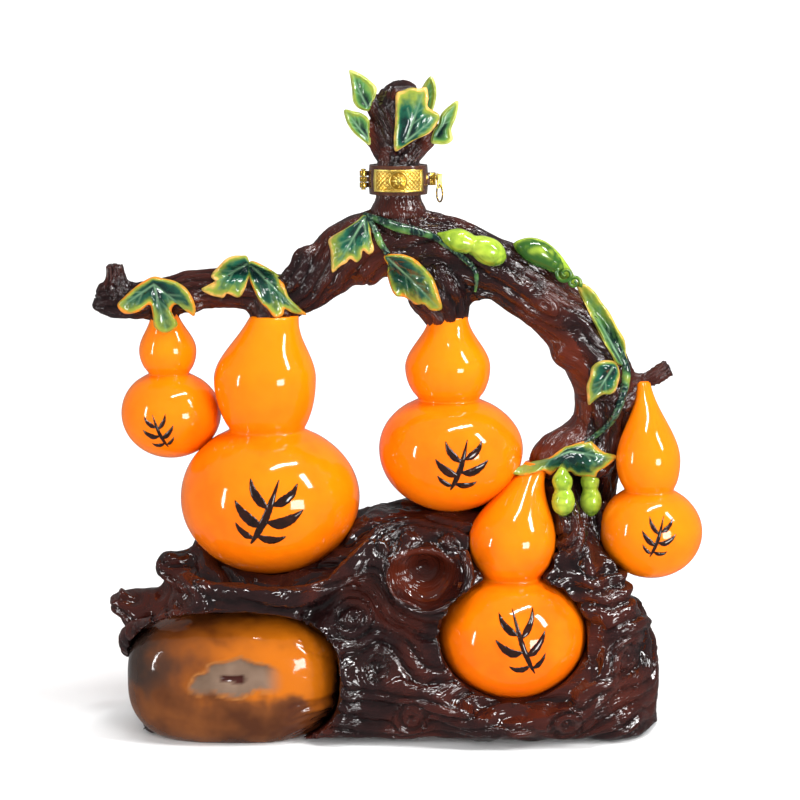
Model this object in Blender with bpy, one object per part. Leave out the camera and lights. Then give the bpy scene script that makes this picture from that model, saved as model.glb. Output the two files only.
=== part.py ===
"""Ceramic spirit bottle: five hollow gourds hanging on a vine over a root-wood base, closed by a
stump-shaped stopper that a hinged, lockable band holds on the neck.

Metres, +Z up. The origin is on the foot plane, under the middle of the bottle. The front faces -Y.
"""

from math import cos, pi, radians, sin, sqrt, tan

import bmesh
import bpy
from mathutils import Matrix, Vector

MM = 0.001

# Clearances and walls
GAP = 0.3 * MM                  # between neighbours that touch
OVERRUN = 3.0 * MM              # how far a cutter runs past what it cuts
GOURD_WALL = 4.5 * MM
VINE_WALL = 6.0 * MM
BASE_WALL = 6.5 * MM
STEM_BORE_RADIUS = 3.2 * MM     # passage from a gourd into the vine
SEAT_BORE_RADIUS = 6.0 * MM     # passage from a gourd into the base

# Vine: one route from inside the base, up the right side, over the top and out to the left
VINE_HALF_SPAN = 153.0 * MM
VINE_CREST = 252.8 * MM
VINE_RADIUS = 18.5 * MM
VINE_SIDES = 14
VINE_STEPS_EACH = 1.6                    # rings to a route point
CHANNEL_SIDES = 8
VINE_LOBE_SHARE = 0.045
# x over the half span, y over the radius, z over the crest, radius over the crest's radius
VINE_ROUTE_SHARES = (
    (0.690, 0.75, 0.245, 0.92),
    (0.660, 0.75, 0.376, 0.92),
    (0.672, 0.62, 0.500, 0.90),
    (0.718, 0.40, 0.612, 0.92),
    (0.722, 0.22, 0.706, 0.93),
    (0.645, 0.15, 0.793, 0.90),
    (0.550, 0.10, 0.862, 0.86),
    (0.394, 0.00, 0.932, 0.88),
    (0.192, 0.00, 0.983, 0.98),
    (0.024, 0.00, 1.000, 1.00),
    (-0.138, 0.00, 0.986, 0.96),
    (-0.240, 0.00, 0.930, 0.76),
    (-0.348, 0.00, 0.893, 0.65),
    (-0.484, 0.00, 0.904, 0.64),
    (-0.634, 0.00, 0.908, 0.59),
    (-0.784, 0.00, 0.888, 0.56),
    (-0.930, 0.00, 0.884, 0.54),
    (-1.025, 0.00, 0.902, 0.30),
)
TRUNK_END, ARCH_END = 6.5, 11.5          # where the three lengths of vine join, in route points
LEFT_CHANNEL_END = 15.6

# Base
BASE_HALF_LENGTH = 141.0 * MM
BASE_HEIGHT = 119.0 * MM
BASE_FRONT = 54.0 * MM
BASE_BACK = 54.0 * MM
FOOT_ROUND = 6.0 * MM
BASE_PEAK_SHARE = 0.18                   # how far behind the middle the crest of the base lies
BASE_FULLNESS = 2.4                      # exponent of the cross-section's arcs
BASE_ARC_STEPS = 6
# x over the half length, top over the height, front and back over theirs
BASE_STATION_SHARES = (
    (-0.950, 0.28, 0.32, 0.30),
    (-0.930, 0.40, 0.56, 0.52),
    (-0.880, 0.53, 0.74, 0.68),
    (-0.800, 0.66, 0.86, 0.82),
    (-0.720, 0.78, 0.94, 0.90),
    (-0.570, 0.82, 0.97, 0.94),
    (-0.420, 0.85, 0.98, 0.97),
    (-0.280, 0.90, 1.00, 0.98),
    (-0.085, 0.99, 1.00, 1.00),
    (0.100, 1.00, 1.00, 1.00),
    (0.300, 1.00, 1.00, 1.00),
    (0.500, 0.99, 1.00, 1.00),
    (0.650, 0.94, 0.98, 0.97),
    (0.740, 0.80, 0.95, 0.94),
    (0.800, 0.61, 0.92, 0.90),
    (0.860, 0.54, 0.87, 0.84),
    (0.920, 0.52, 0.78, 0.74),
    (0.975, 0.43, 0.58, 0.54),
    (1.000, 0.28, 0.30, 0.28),
)
HORN_ROOT_RADIUS = 17.0 * MM
HORN_TIP_RADIUS = 7.0 * MM
HORN_SIDES = 8
# root and tip of each horn: x over the half length, y over the back, z over the height
HORN_SHARES = (
    ((-0.74, 0.05, 0.62), (-0.885, -0.02, 0.755)),
    ((-0.86, 0.05, 0.46), (-1.070, 0.00, 0.575)),
    ((-0.62, 0.10, 0.66), (-0.750, 0.06, 0.830)),
    ((0.86, 0.02, 0.42), (0.930, -0.05, 0.540)),
)

HORN_KNEE_SHARE = 0.6

# the swell that carries the vine's foot: centre, then half sizes, over the base's own
SWELL_CENTRE_SHARES = (0.600, 0.10, 0.86)
SWELL_HALF_SHARES = (0.165, 0.46, 0.355)
# hollow of a lost branch in the front, between the gourds
KNOT_CENTRE_SHARES = (0.135, -0.83, 0.70)
KNOT_HALF_LENGTH = 17.0 * MM
KNOT_HALF_DEPTH = 9.0 * MM
KNOT_HALF_HEIGHT = 12.0 * MM
KNOT_SIDES = 12
NEST_RINGS = 7
SWELL_SIDES = 12
SWELL_RINGS = 8
HOLLOW_ARC_STEPS = 4

# Boulder set into the front left of the base
BOULDER_HALF_LENGTH = 56.0 * MM
BOULDER_HALF_DEPTH = 36.0 * MM
BOULDER_HALF_HEIGHT = 36.0 * MM
BOULDER_WALL = 6.0 * MM
BOULDER_X_SHARE = -0.585
BOULDER_Y_SHARE = -0.37
BOULDER_Z_SHARE = 0.25
BOULDER_VENT_RADIUS = 9.0 * MM
BOULDER_FULLNESS = 2.3
BOULDER_SIDES = 16
BOULDER_RINGS = 9

# Gourds. A seat is the height of the bulb's lowest point on the base
GOURD_RINGS = 5
GOURD_SIDES = 20
SMALL_GOURD_SIDES = 16
HOLLOW_SIDES = 10
BIG_BULB_RADIUS = 46.6 * MM
BIG_WAIST_RADIUS = 19.0 * MM
BIG_TOP_RADIUS = 26.4 * MM
BIG_NECK_RADIUS = 8.6 * MM
BIG_DEPTH = -5.0 * MM
MIDDLE_BULB_RADIUS = 37.5 * MM
MIDDLE_WAIST_RADIUS = 15.4 * MM
MIDDLE_TOP_RADIUS = 22.1 * MM
MIDDLE_NECK_RADIUS = 10.0 * MM
MIDDLE_DEPTH = -2.0 * MM
FRONT_BULB_RADIUS = 38.6 * MM
FRONT_WAIST_RADIUS = 14.7 * MM
FRONT_TOP_RADIUS = 22.6 * MM
FRONT_NECK_RADIUS = 10.5 * MM
FRONT_NECK_DEPTH = -9.0 * MM
FRONT_NECK_TOP_SHARE = 0.545           # over the vine's crest
FRONT_DEPTH = -24.0 * MM
LEFT_BULB_RADIUS = 26.0 * MM
LEFT_WAIST_RADIUS = 10.2 * MM
LEFT_TOP_RADIUS = 14.9 * MM
LEFT_NECK_RADIUS = 6.6 * MM
LEFT_DEPTH = 6.0 * MM
LEFT_HEIGHT = 74.5 * MM
RIGHT_BULB_RADIUS = 26.6 * MM
RIGHT_WAIST_RADIUS = 12.5 * MM
RIGHT_TOP_RADIUS = 16.6 * MM
RIGHT_NECK_RADIUS = 3.4 * MM
RIGHT_DEPTH = -12.0 * MM
# Seats over the base's height
BIG_SEAT_SHARE = 0.678
MIDDLE_SEAT_SHARE = 0.950
FRONT_SEAT_SHARE = 0.168
RIGHT_SEAT_SHARE = 0.670
# x of bulb, top bulb and neck over the vine's half span
BIG_X_SHARES = (-0.418, -0.433, -0.398)
MIDDLE_X_SHARES = (0.197, 0.185, 0.187)
FRONT_X_SHARES = (0.402, 0.402, 0.490)
LEFT_X_SHARES = (-0.758, -0.767, -0.774)
RIGHT_X_SHARES = (0.875, 0.862, 0.850)
# heights of the bulb's middle, the waist and the top bulb's middle, from seat to neck
BIG_HEIGHT_SHARES = (0.299, 0.567, 0.766)
MIDDLE_HEIGHT_SHARES = (0.328, 0.590, 0.757)
FRONT_HEIGHT_SHARES = (0.277, 0.527, 0.690)
LEFT_HEIGHT_SHARES = (0.316, 0.595, 0.758)
RIGHT_HEIGHT_SHARES = (0.252, 0.478, 0.636)
FRONT_LEAN = radians(4.0)               # the front gourd leans back against the vine
MIDDLE_NECK_SHARE = 0.842                # the middle gourd's neck over the vine's crest
BIG_TEAR_SHARE, FRONT_TEAR_SHARE, RIGHT_TEAR_SHARE = 0.60, 0.60, 0.75
PLAIN_TEAR_SHARE = 0.38
NECK_EMBED_SHARE = 0.55                   # how far a gourd's stem reaches into the vine's radius

# Short branches
STUB_ROOT_RADIUS = 7.5 * MM
STUB_TIP_RADIUS = 5.6 * MM
STUB_FLARE = 1.2 * MM
STUB_SIDES = 10
RIGHT_STUB_REACH = 34.5 * MM
RIGHT_STUB_RISE = 12.0 * MM
LEFT_STUB_REACH = -1.0 * MM
LEFT_STUB_RISE = 20.0 * MM
RIGHT_STUB_AT, LEFT_STUB_AT = 3.9, 16.0  # in route points
RIGHT_STUB_KNEE_SHARES = (0.62, 0.45)    # of its reach and rise
LEFT_STUB_KNEE_SHARE = 0.6
COLLAR_LENGTH_SHARE = 0.9               # of the vine's radius, from the stem up into the vine
BIG_COLLAR_SPREAD = 5.5 * MM
BIG_COLLAR_SHIFT = -4.0 * MM
MIDDLE_COLLAR_SPREAD = 10.5 * MM
MIDDLE_COLLAR_SHIFT = -4.5 * MM
COLLAR_RING_SHARES = (0.0, 0.35, 1.0)
COLLAR_SIDES = 16

# Leaves laid over the vine. Each outline runs round the stem: (degrees from +X, reach over the size)
LEAF_THICKNESS = 1.5 * MM
LEAF_WRAP = 0.7 * MM                     # how far over the vine's middle a leaf reaches
LEFT_LEAF_SIZE = 28.0 * MM
CROWN_LEFT_SIZE = 25.0 * MM
CROWN_RIGHT_SIZE = 37.0 * MM
ARCH_LEAF_SIZE = 31.0 * MM
DROOPING_LEAF_SIZE = 30.0 * MM
OUTER_LEAF_SIZE = 43.0 * MM
TRUNK_LEAF_SIZE = 26.0 * MM
LOW_LEAF_SIZE = 26.0 * MM
LEFT_LEAF_SHARES = (
    (90, 0.12), (172, 0.30), (-140, 0.80), (-118, 0.50), (-100, 0.72), (-84, 0.52), (-70, 0.74),
    (-56, 0.60), (-41, 1.00), (-22, 0.46), (8, 0.30),
)
CROWN_LEFT_SHARES = (
    (45, 0.16), (140, 0.42), (172, 0.62), (-162, 0.98), (-148, 0.66), (-134, 0.92), (-118, 0.58),
    (-104, 0.62), (-80, 0.22),
)
CROWN_RIGHT_SHARES = (
    (60, 0.10), (-100, 0.20), (-68, 0.64), (-62, 0.50), (-55, 0.86), (-48, 0.66), (-41, 1.00),
    (-34, 0.62), (-26, 0.52), (-10, 0.16),
)
ARCH_LEAF_SHARES = (
    (60, 0.10), (160, 0.30), (-166, 0.52), (-150, 0.84), (-140, 0.60), (-122, 1.00), (-112, 0.70),
    (-98, 0.80), (-84, 0.46), (-70, 0.20),
)
DROOPING_LEAF_SHARES = (
    (90, 0.10), (-160, 0.26), (-128, 0.66), (-112, 0.78), (-100, 0.98), (-84, 0.78), (-66, 1.00),
    (-50, 0.82), (-30, 0.58), (0, 0.20),
)
OUTER_LEAF_SHARES = (
    (-60, 0.04), (60, 0.10), (116, 0.34), (124, 0.66), (126, 1.00), (136, 0.62), (140, 0.28),
)
TRUNK_LEAF_SHARES = (
    (40, 0.12), (150, 0.34), (-160, 0.62), (-142, 0.50), (-124, 1.00), (-106, 0.60), (-80, 0.62),
    (-60, 0.26),
)
LOW_LEAF_SHARES = (
    (90, 0.14), (165, 0.34), (-158, 0.80), (-140, 0.50), (-112, 0.56), (-92, 0.42), (-62, 0.72),
    (-52, 0.52), (-36, 0.86), (-20, 0.42), (10, 0.26),
)
# where each leaf springs from: route point, then sideways and up over the vine's radius
LEFT_LEAF_PLACE_SHARES = (14.85, -0.02, 0.92)
CROWN_LEFT_PLACE_SHARES = (12.95, -0.06, 0.96)
CROWN_RIGHT_PLACE_SHARES = (12.88, 0.34, 0.80)
ARCH_LEAF_PLACE_SHARES = (9.95, 0.16, 0.66)
DROOPING_LEAF_PLACE_SHARES = (9.12, -0.10, -0.02)
OUTER_LEAF_PLACE_SHARES = (4.35, 0.72, 0.10)
TRUNK_LEAF_PLACE_SHARES = (3.95, 0.52, 0.36)
LOW_LEAF_PLACE_SHARES = (2.35, -0.92, 0.60)

# Fruit and strands on the vine
FRUIT_SIDES = 10
YOUNG_GOURD_RADIUS = 7.2 * MM
YOUNG_GOURD_LENGTH = 31.0 * MM
POD_RADIUS = 6.6 * MM
LOW_GOURD_RADIUS = 6.2 * MM
LOW_GOURD_LENGTH = 24.0 * MM
FRUIT_LIFT_SHARE = 0.25                  # of its radius, from the vine's skin to the fruit's middle
# (length share, radius share) from the stem end
YOUNG_GOURD_SHARES = (
    (0.00, 0.15), (0.14, 0.52), (0.30, 0.82), (0.46, 0.68), (0.56, 0.78), (0.72, 1.00), (0.90, 0.76),
    (1.00, 0.25),
)
POD_SHARES = (
    (0.00, 0.30), (0.12, 0.72), (0.32, 1.00), (0.52, 0.96), (0.68, 0.55), (0.80, 0.62), (0.92, 0.55),
    (1.00, 0.22),
)
POD_FROM, POD_TO = 7.05, 5.95            # in route points
POD_DEGREES = 24
YOUNG_GOURD_FROM, YOUNG_GOURD_TO = 8.15, 7.02
YOUNG_GOURD_DEGREES = 62
# top of each low young gourd: route point, then how far across and before the vine, over its radius
LOW_GOURD_LEFT_SHARES = (2.40, -1.13, -2.01)
LOW_GOURD_RIGHT_SHARES = (2.30, -0.15, -1.265)
STRAND_RADIUS = 2.3 * MM
STRAND_LIFT = 0.5 * MM
STRAND_SIDES = 6
STRAND_TAPER_SHARE = 0.3
# start and end in route points, then degrees round the vine
ARCH_STRAND = ((9.62, 52), (9.15, 60), (8.6, 68), (8.1, 92), (7.85, 116), (7.75, 138))
TRUNK_STRAND = ((4.45, 12), (4.0, 28), (3.5, 42), (3.0, 62), (2.62, 98))

# Painted relief on the bulbs
RELIEF_HEIGHT = 0.9 * MM
BIG_SPRIG_LENGTH = 40.0 * MM
MIDDLE_SPRIG_LENGTH = 32.0 * MM
FRONT_SPRIG_LENGTH = 34.0 * MM
LEFT_SPRIG_LENGTH = 19.0 * MM
RIGHT_SPRIG_LENGTH = 22.0 * MM
SPRIG_STEM_SHARE = 0.09
SPRIG_BLADE_SHARE = 0.44
SPRIG_BLADE_WIDTH_SHARE = 0.125
SPRIG_STEM_REACH_SHARE = 0.96
# half of a blade's outline, from its root to its point
SPRIG_BLADE_SHAPE_SHARES = ((-0.04, 0.12), (0.34, 0.50), (1.00, 0.05))
# where each blade leaves the stem, and its angle from the stem in degrees
SPRIG_BLADES = ((0.20, 50), (0.40, -46), (0.62, 42), (0.80, -34))
SPRIG_LEAN = radians(18.0)

# Neck
NECK_X_SHARE = 0.018
NECK_BORE_RADIUS = 8.0 * MM
NECK_RADIUS = 11.4 * MM
NECK_FLARE_RADIUS = 14.6 * MM
NECK_FLANGE_RADIUS = 13.2 * MM
NECK_FLANGE_HEIGHT = 6.6 * MM
NECK_RISE = 8.0 * MM                    # from the vine's top to the flange's underside
NECK_FLARE_HEIGHT = 2.4 * MM
NECK_THROAT = 5.0 * MM
NECK_STRAIGHT = 2.7 * MM                 # the plain neck under the flange
TURNED_SIDES = 18

# Stopper
PLUG_RADIUS = 5.6 * MM
PLUG_LENGTH = 19.0 * MM
SEAL_SLEEVE_RADIUS = 7.0 * MM
SEAL_LIP_RADIUS = 7.7 * MM
SEAL_LENGTH = 13.0 * MM
SEAL_LIP_HEIGHT = 1.6 * MM
SEAL_LIPS = 2
STOPPER_FLANGE_HEIGHT = 6.0 * MM
STUMP_RADIUS = 11.2 * MM
STUMP_HEIGHT = 44.0 * MM
STUMP_SIDES = 14
# (radius, height) over the stump's own
STUMP_SHARES = (
    (1.00, 0.00), (0.92, 0.14), (1.00, 0.34), (1.04, 0.60), (0.98, 0.80), (0.78, 0.93), (0.40, 1.00),
)
TWIG_ROOT_RADIUS = 8.4 * MM
TWIG_TIP_RADIUS = 4.6 * MM
TWIG_SIDES = 8
# root and tip of each twig: x and y over the stump's radius, z over its height
TWIG_SHARES = (
    ((-0.31, 0.00, 0.20), (-1.65, -0.16, 0.46)),
    ((0.31, 0.00, 0.20), (1.73, -0.08, 0.42)),
    ((-0.20, 0.00, 0.50), (-1.34, 0.00, 0.80)),
)
STOPPER_LEAF_THICKNESS = 1.5 * MM
STOPPER_LEAF_CUP_SHARE = 0.16
STOPPER_LEAF_STEM_SHARE = 0.20           # how far along its sine outline a leaf begins
STOPPER_LEAF_TIP_SHARE = 0.08            # its blunt tip over its width
STOPPER_LEAF_FULLNESS = 0.8              # under 1 rounds the outline out
# stem and tip of each leaf as for the twigs, then its width over the stump's radius
STOPPER_LEAF_SHARES = {
    "stopper_leaf_upper_left": ((-1.18, -0.16, 0.72), (-2.20, -0.16, 1.12), 1.18),
    "stopper_leaf_lower_left": ((-1.42, -0.51, 0.26), (-2.44, -0.51, 0.66), 1.18),
    "stopper_leaf_front": ((0.24, -1.14, 0.18), (1.18, -1.41, 0.90), 1.80),
    "stopper_leaf_right": ((1.69, -0.51, 0.28), (2.75, -0.31, 0.77), 1.18),
    "stopper_leaf_rear": ((0.47, 0.98, 0.42), (1.49, 1.10, 1.04), 1.18),
}
LEAF_STEPS = 5

# Locking band round the two flanges
BAND_INNER_RADIUS = 13.6 * MM
BAND_EDGE_RADIUS = 14.9 * MM
BAND_BULGE_RADIUS = 15.5 * MM
BAND_LIP_RADIUS = 12.0 * MM
BAND_LIP_HEIGHT = 0.9 * MM
BAND_HEIGHT = 15.0 * MM
BAND_SPLIT = 0.5 * MM
PLATE_THICKNESS = 0.6 * MM
PLATE_HEIGHT = 11.4 * MM
PLATE_HALF_ANGLE = radians(52.0)
PLATE_RIM_WIDTH = 1.1 * MM
PLATE_RIM_RISE = 0.35 * MM
PLATE_STEPS = 9
HINGE_OFFSET = 2.4 * MM                  # from the band's side to the hinge's axis
KNUCKLE_RADIUS = 2.0 * MM
KNUCKLE_HEIGHT = 2.7 * MM
HINGE_PIN_RADIUS = 0.8 * MM
HINGE_PIN_HEAD_RADIUS = 1.3 * MM
HINGE_PIN_HEAD = 0.7 * MM
HINGE_BORE_CLEARANCE = 0.2 * MM
SMALL_SIDES = 12
HOUSING_BACK = 5.6 * MM
HOUSING_HEIGHT = 6.4 * MM
TONGUE_THICKNESS = 1.2 * MM
TONGUE_HEIGHT = 2.6 * MM
TONGUE_REACH = 4.2 * MM
TONGUE_ROOT = 3.4 * MM
TONGUE_CLEARANCE = 0.5 * MM
HOUSING_WALL = 1.2 * MM
LOCK_RADIUS = 1.2 * MM
LOCK_AXIS_RISE = 1.0 * MM                # lock axis above the band's middle
LOCK_BACK = 2.4 * MM                     # lock axis behind the band's split
LOCK_FLAT = 0.4 * MM                     # the flat below the axis while unlocked
LOCK_BITE = 0.5 * MM                     # how far the locked core dips into the tongue
LOCK_HEAD_RADIUS = 1.9 * MM
LOCK_HEAD_LENGTH = 1.0 * MM
EYE_THICKNESS = 1.1 * MM
EYE_WIDTH = 2.8 * MM
EYE_DROP = 4.2 * MM
EYE_BORE_RADIUS = 0.85 * MM
EYE_EDGE = 1.6 * MM                      # from the eye's bore to its lower edge
RING_RADIUS = 4.3 * MM
RING_WIRE_RADIUS = 0.5 * MM
RING_STEPS = 16
WIRE_SIDES = 6
BAND_STEPS = 14
FRONT_BORE_AT = 2.45                     # route point where the front gourd opens into the trunk
RIGHT_BORE_DEPTH = 4.5 * MM              # y of the passage from the right gourd into the trunk
RING_YAW = radians(20.0)                 # the ring's plane, turned from edge-on

# Places that follow from the sizes above
NECK_X = NECK_X_SHARE * VINE_HALF_SPAN
HINGE_X = NECK_X - BAND_BULGE_RADIUS - HINGE_OFFSET
ANCHOR_X = NECK_X + BAND_INNER_RADIUS + GAP
TONGUE_X = NECK_X + BAND_BULGE_RADIUS + TONGUE_CLEARANCE + GAP
SLOT_X = TONGUE_X + TONGUE_THICKNESS + TONGUE_CLEARANCE
HOUSING_X = SLOT_X + HOUSING_WALL
FRONT_REACH = 2.0 * BASE_FRONT           # clears everything in front
MITRE_LIMIT = 1.6                        # how much further a sharp corner may stand off
WELD = 0.01 * MM                         # points nearer than this are one
FLAT_ANGLE = radians(0.6)                # faces nearer to level than this are one
FRONT_TOLERANCE = 0.5 * MM               # a point this near the middle counts as on it


def clear_scene():
    for item in list(bpy.data.objects):
        bpy.data.objects.remove(item, do_unlink=True)


def new_object(name, bm):
    """An object from a bmesh, in triangles and flat ends, with its faces turned outwards."""
    bmesh.ops.triangulate(bm, faces=[face for face in bm.faces if len(face.verts) == 4])
    bmesh.ops.recalc_face_normals(bm, faces=bm.faces)
    mesh = bpy.data.meshes.new(name)
    bm.to_mesh(mesh)
    bm.free()
    item = bpy.data.objects.new(name, mesh)
    bpy.context.scene.collection.objects.link(item)
    return item


def loft(name, rings, loop=False):
    """Rings of equally many points, bridged in order and capped, or closed end to start."""
    bm = bmesh.new()
    rows = [[bm.verts.new(point) for point in ring] for ring in rings]
    count = len(rings[0])
    pairs = list(zip(rows, rows[1:]))
    if loop:
        pairs.append((rows[-1], rows[0]))
    else:
        bm.faces.new(rows[0])
        bm.faces.new(rows[-1])
    for lower, upper in pairs:
        for i in range(count):
            j = (i + 1) % count
            bm.faces.new((lower[i], lower[j], upper[j], upper[i]))
    return new_object(name, bm)


def turned(name, profile, x=0.0, y=0.0, sides=TURNED_SIDES):
    """A closed profile of (radius, height), turned about the upright axis at x, y."""
    rings = [
        [Vector((x + r * cos(2 * pi * k / sides), y + r * sin(2 * pi * k / sides), z)) for k in range(sides)]
        for r, z in profile
    ]
    return loft(name, rings, loop=True)


def disc_solid(name, profile, x=0.0, y=0.0, sides=TURNED_SIDES):
    """As turned, for an open profile whose two ends are closed by flat discs."""
    rings = [
        [Vector((x + r * cos(2 * pi * k / sides), y + r * sin(2 * pi * k / sides), z)) for k in range(sides)]
        for r, z in profile
    ]
    return loft(name, rings)


def rod(name, start, end, radius, sides=SMALL_SIDES):
    """A round bar between two points."""
    return tube(name, [(start, radius), (end, radius)], sides)


def frame_of(tangent):
    """Two directions square to a tangent, the first close to straight up or outwards."""
    tangent = tangent.normalized()
    side = Vector((0, 1, 0)) if abs(tangent.y) < 0.9 else Vector((1, 0, 0))
    normal = side.cross(tangent).normalized()
    return normal, tangent.cross(normal).normalized()


def tube(name, stations, sides):
    """A bar through (point, radius) stations, with flat ends."""
    rings = []
    for i, (point, radius) in enumerate(stations):
        before = stations[max(i - 1, 0)][0]
        after = stations[min(i + 1, len(stations) - 1)][0]
        normal, side = frame_of(after - before)
        rings.append([
            point + radius * (cos(2 * pi * k / sides) * normal + sin(2 * pi * k / sides) * side)
            for k in range(sides)
        ])
    return loft(name, rings)


def block(name, low, high):
    """A box between two corners."""
    bm = bmesh.new()
    bmesh.ops.create_cube(bm, size=1.0)
    for vert in bm.verts:
        vert.co = Vector([a + (b - a) * (share + 0.5) for a, b, share in zip(low, high, vert.co)])
    return new_object(name, bm)


def ellipsoid(name, centre, half_sizes, sides, rings, fullness=2.0):
    """A closed ball with three half sizes; a fullness over 2 makes it boxier."""
    def swell(value):
        return abs(value) ** (2.0 / fullness) * (1 if value >= 0 else -1)

    bm = bmesh.new()
    bmesh.ops.create_uvsphere(bm, u_segments=sides, v_segments=rings, radius=1.0)
    for vert in bm.verts:
        vert.co = centre + Vector([swell(c) * half for c, half in zip(vert.co, half_sizes)])
    return new_object(name, bm)


def prism(name, outline, front, back):
    """An (x, z) outline run along Y from front to back."""
    return loft(name, [[Vector((x, y, z)) for x, z in outline] for y in (front, back)])


def grown(item, distance):
    """A copy whose surface stands off by a distance."""
    bm = bmesh.new()
    bm.from_mesh(item.data)
    bm.normal_update()
    reaches = [distance * min(vert.calc_shell_factor(), MITRE_LIMIT) for vert in bm.verts]
    moves = [vert.normal * reach for vert, reach in zip(bm.verts, reaches)]
    for vert, move in zip(bm.verts, moves):
        vert.co += move
    return new_object(item.name + "_grown", bm)


def combine(target, tool, operation, keep=False):
    """Applies a Boolean to target, and drops the tool unless it is kept."""
    step = target.modifiers.new("boolean", "BOOLEAN")
    step.operation = operation
    step.solver = "EXACT"
    step.object = tool
    bpy.context.view_layer.update()
    graph = bpy.context.evaluated_depsgraph_get()
    mesh = bpy.data.meshes.new_from_object(target.evaluated_get(graph))
    target.modifiers.clear()
    target.data = mesh
    if not keep:
        bpy.data.objects.remove(tool, do_unlink=True)
    return target


def cut(target, *tools, keep=False):
    for tool in tools:
        combine(target, tool, "DIFFERENCE", keep)
    return target


def join(target, *tools):
    for tool in tools:
        combine(target, tool, "UNION")
    return target


def copied(item):
    twin = item.copy()
    twin.data = item.data.copy()
    bpy.context.scene.collection.objects.link(twin)
    return twin


def dropped(*items):
    for item in items:
        bpy.data.objects.remove(item, do_unlink=True)


def glazed(name, colour, roughness, metallic=0.0):
    material = bpy.data.materials.new(name)
    material.use_nodes = True
    shader = material.node_tree.nodes["Principled BSDF"]
    shader.inputs["Base Color"].default_value = (*colour, 1.0)
    shader.inputs["Roughness"].default_value = roughness
    shader.inputs["Metallic"].default_value = metallic
    return material


def finished(item, name, material):
    """Cleans a node's mesh, names it, and gives it its material and smooth shading with crisp edges."""
    bm = bmesh.new()
    bm.from_mesh(item.data)
    bmesh.ops.remove_doubles(bm, verts=bm.verts, dist=WELD)
    bmesh.ops.dissolve_degenerate(bm, edges=bm.edges, dist=WELD)
    bmesh.ops.dissolve_limit(bm, angle_limit=FLAT_ANGLE, verts=bm.verts, edges=bm.edges)
    bmesh.ops.triangulate(bm, faces=bm.faces)
    bm.to_mesh(item.data)
    bm.free()
    item.name = name
    item.data.name = name
    item.data.materials.clear()
    item.data.materials.append(material)
    item.data.shade_smooth()
    item.data.set_sharp_from_angle(angle=radians(40))
    return item


def pivoted(items, point):
    """Puts the origins of one moving body's pieces on its joint, without moving the pieces."""
    for item in items:
        item.data.transform(Matrix.Translation(-point))
        item.location = point


# Vine route

def vine_controls():
    return [
        (Vector((x * VINE_HALF_SPAN, y * VINE_RADIUS, z * VINE_CREST)), r * VINE_RADIUS)
        for x, y, z, r in VINE_ROUTE_SHARES
    ]


def vine_at(place):
    """(point, tangent, radius) on the smooth curve through the route's points."""
    points = vine_controls()
    last = len(points) - 1
    place = min(max(place, 0.0), last - 1e-6)
    i = int(place)
    t = place - i
    p0, p1, p2, p3 = (points[min(max(k, 0), last)] for k in (i - 1, i, i + 1, i + 2))

    def mix(a, b, c, d):
        bend, twist = 2 * a - 5 * b + 4 * c - d, 3 * b - a - 3 * c + d
        return 0.5 * (2 * b + (c - a) * t + bend * t * t + twist * t ** 3)

    def slope(a, b, c, d):
        bend, twist = 2 * a - 5 * b + 4 * c - d, 3 * b - a - 3 * c + d
        return 0.5 * (c - a + 2 * bend * t + 3 * twist * t * t)

    point = mix(p0[0], p1[0], p2[0], p3[0])
    tangent = slope(p0[0], p1[0], p2[0], p3[0]).normalized()
    return point, tangent, mix(p0[1], p1[1], p2[1], p3[1])


def vine_ring(place, radius, shift=0.0, sides=VINE_SIDES, lobe=VINE_LOBE_SHARE):
    """One cross-section of the vine, with three low lobes that twist along it."""
    point, tangent, _ = vine_at(place)
    normal, side = frame_of(tangent)
    ring = []
    for k in range(sides):
        angle = 2 * pi * k / sides
        swell = radius * (1 + lobe * cos(3 * angle + place))
        ring.append(point + shift * tangent + swell * (cos(angle) * normal + sin(angle) * side))
    return ring


def places(start, end):
    count = max(int(round((end - start) * VINE_STEPS_EACH)), 2)
    return [start + (end - start) * i / count for i in range(count + 1)]


def vine_length(name, start, end, channel_end=None):
    """A hollow length of vine. With channel_end, its far end is solid and the channel stops there."""
    stops = places(start, end)
    half = GAP / 2
    shifts = [half] + [0.0] * (len(stops) - 2) + [0.0 if channel_end else -half]
    outer = [vine_ring(s, vine_at(s)[2], shift) for s, shift in zip(stops, shifts)]
    inner_stops = places(start, channel_end or end)
    inner_shifts = [half] + [0.0] * (len(inner_stops) - 2) + [0.0 if channel_end else -half]
    inner = [
        vine_ring(s, vine_at(s)[2] - VINE_WALL, shift, lobe=0.0)
        for s, shift in zip(inner_stops, inner_shifts)
    ]
    if channel_end:
        return loft(name, inner[::-1] + outer)
    return loft(name, outer + inner[::-1], loop=True)


def vine_solid():
    """The vine without its channel, for fitting its neighbours to it."""
    joins = (0.0, TRUNK_END, ARCH_END, len(VINE_ROUTE_SHARES) - 1)
    stops = [0.0]
    for start, end in zip(joins, joins[1:]):
        stops += places(start, end)[1:]
    return loft("form", [vine_ring(s, vine_at(s)[2]) for s in stops])


def vine_at_x(x):
    """The vine over or under x, on its upper stretch."""
    start, end = TRUNK_END, len(VINE_ROUTE_SHARES) - 1.0
    for _ in range(40):
        middle = (start + end) / 2
        if vine_at(middle)[0].x > x:
            start = middle
        else:
            end = middle
    return vine_at(start)


# Short branches

def right_stub_stations():
    point, _, _ = vine_at(RIGHT_STUB_AT)
    tip = point + Vector((RIGHT_STUB_REACH, 0, RIGHT_STUB_RISE))
    along, up = RIGHT_STUB_KNEE_SHARES
    knee = point + Vector((RIGHT_STUB_REACH * along, -STUB_TIP_RADIUS / 2, RIGHT_STUB_RISE * up))
    return [(point, STUB_ROOT_RADIUS), (knee, STUB_TIP_RADIUS), (tip, STUB_TIP_RADIUS + STUB_FLARE)]


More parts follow.
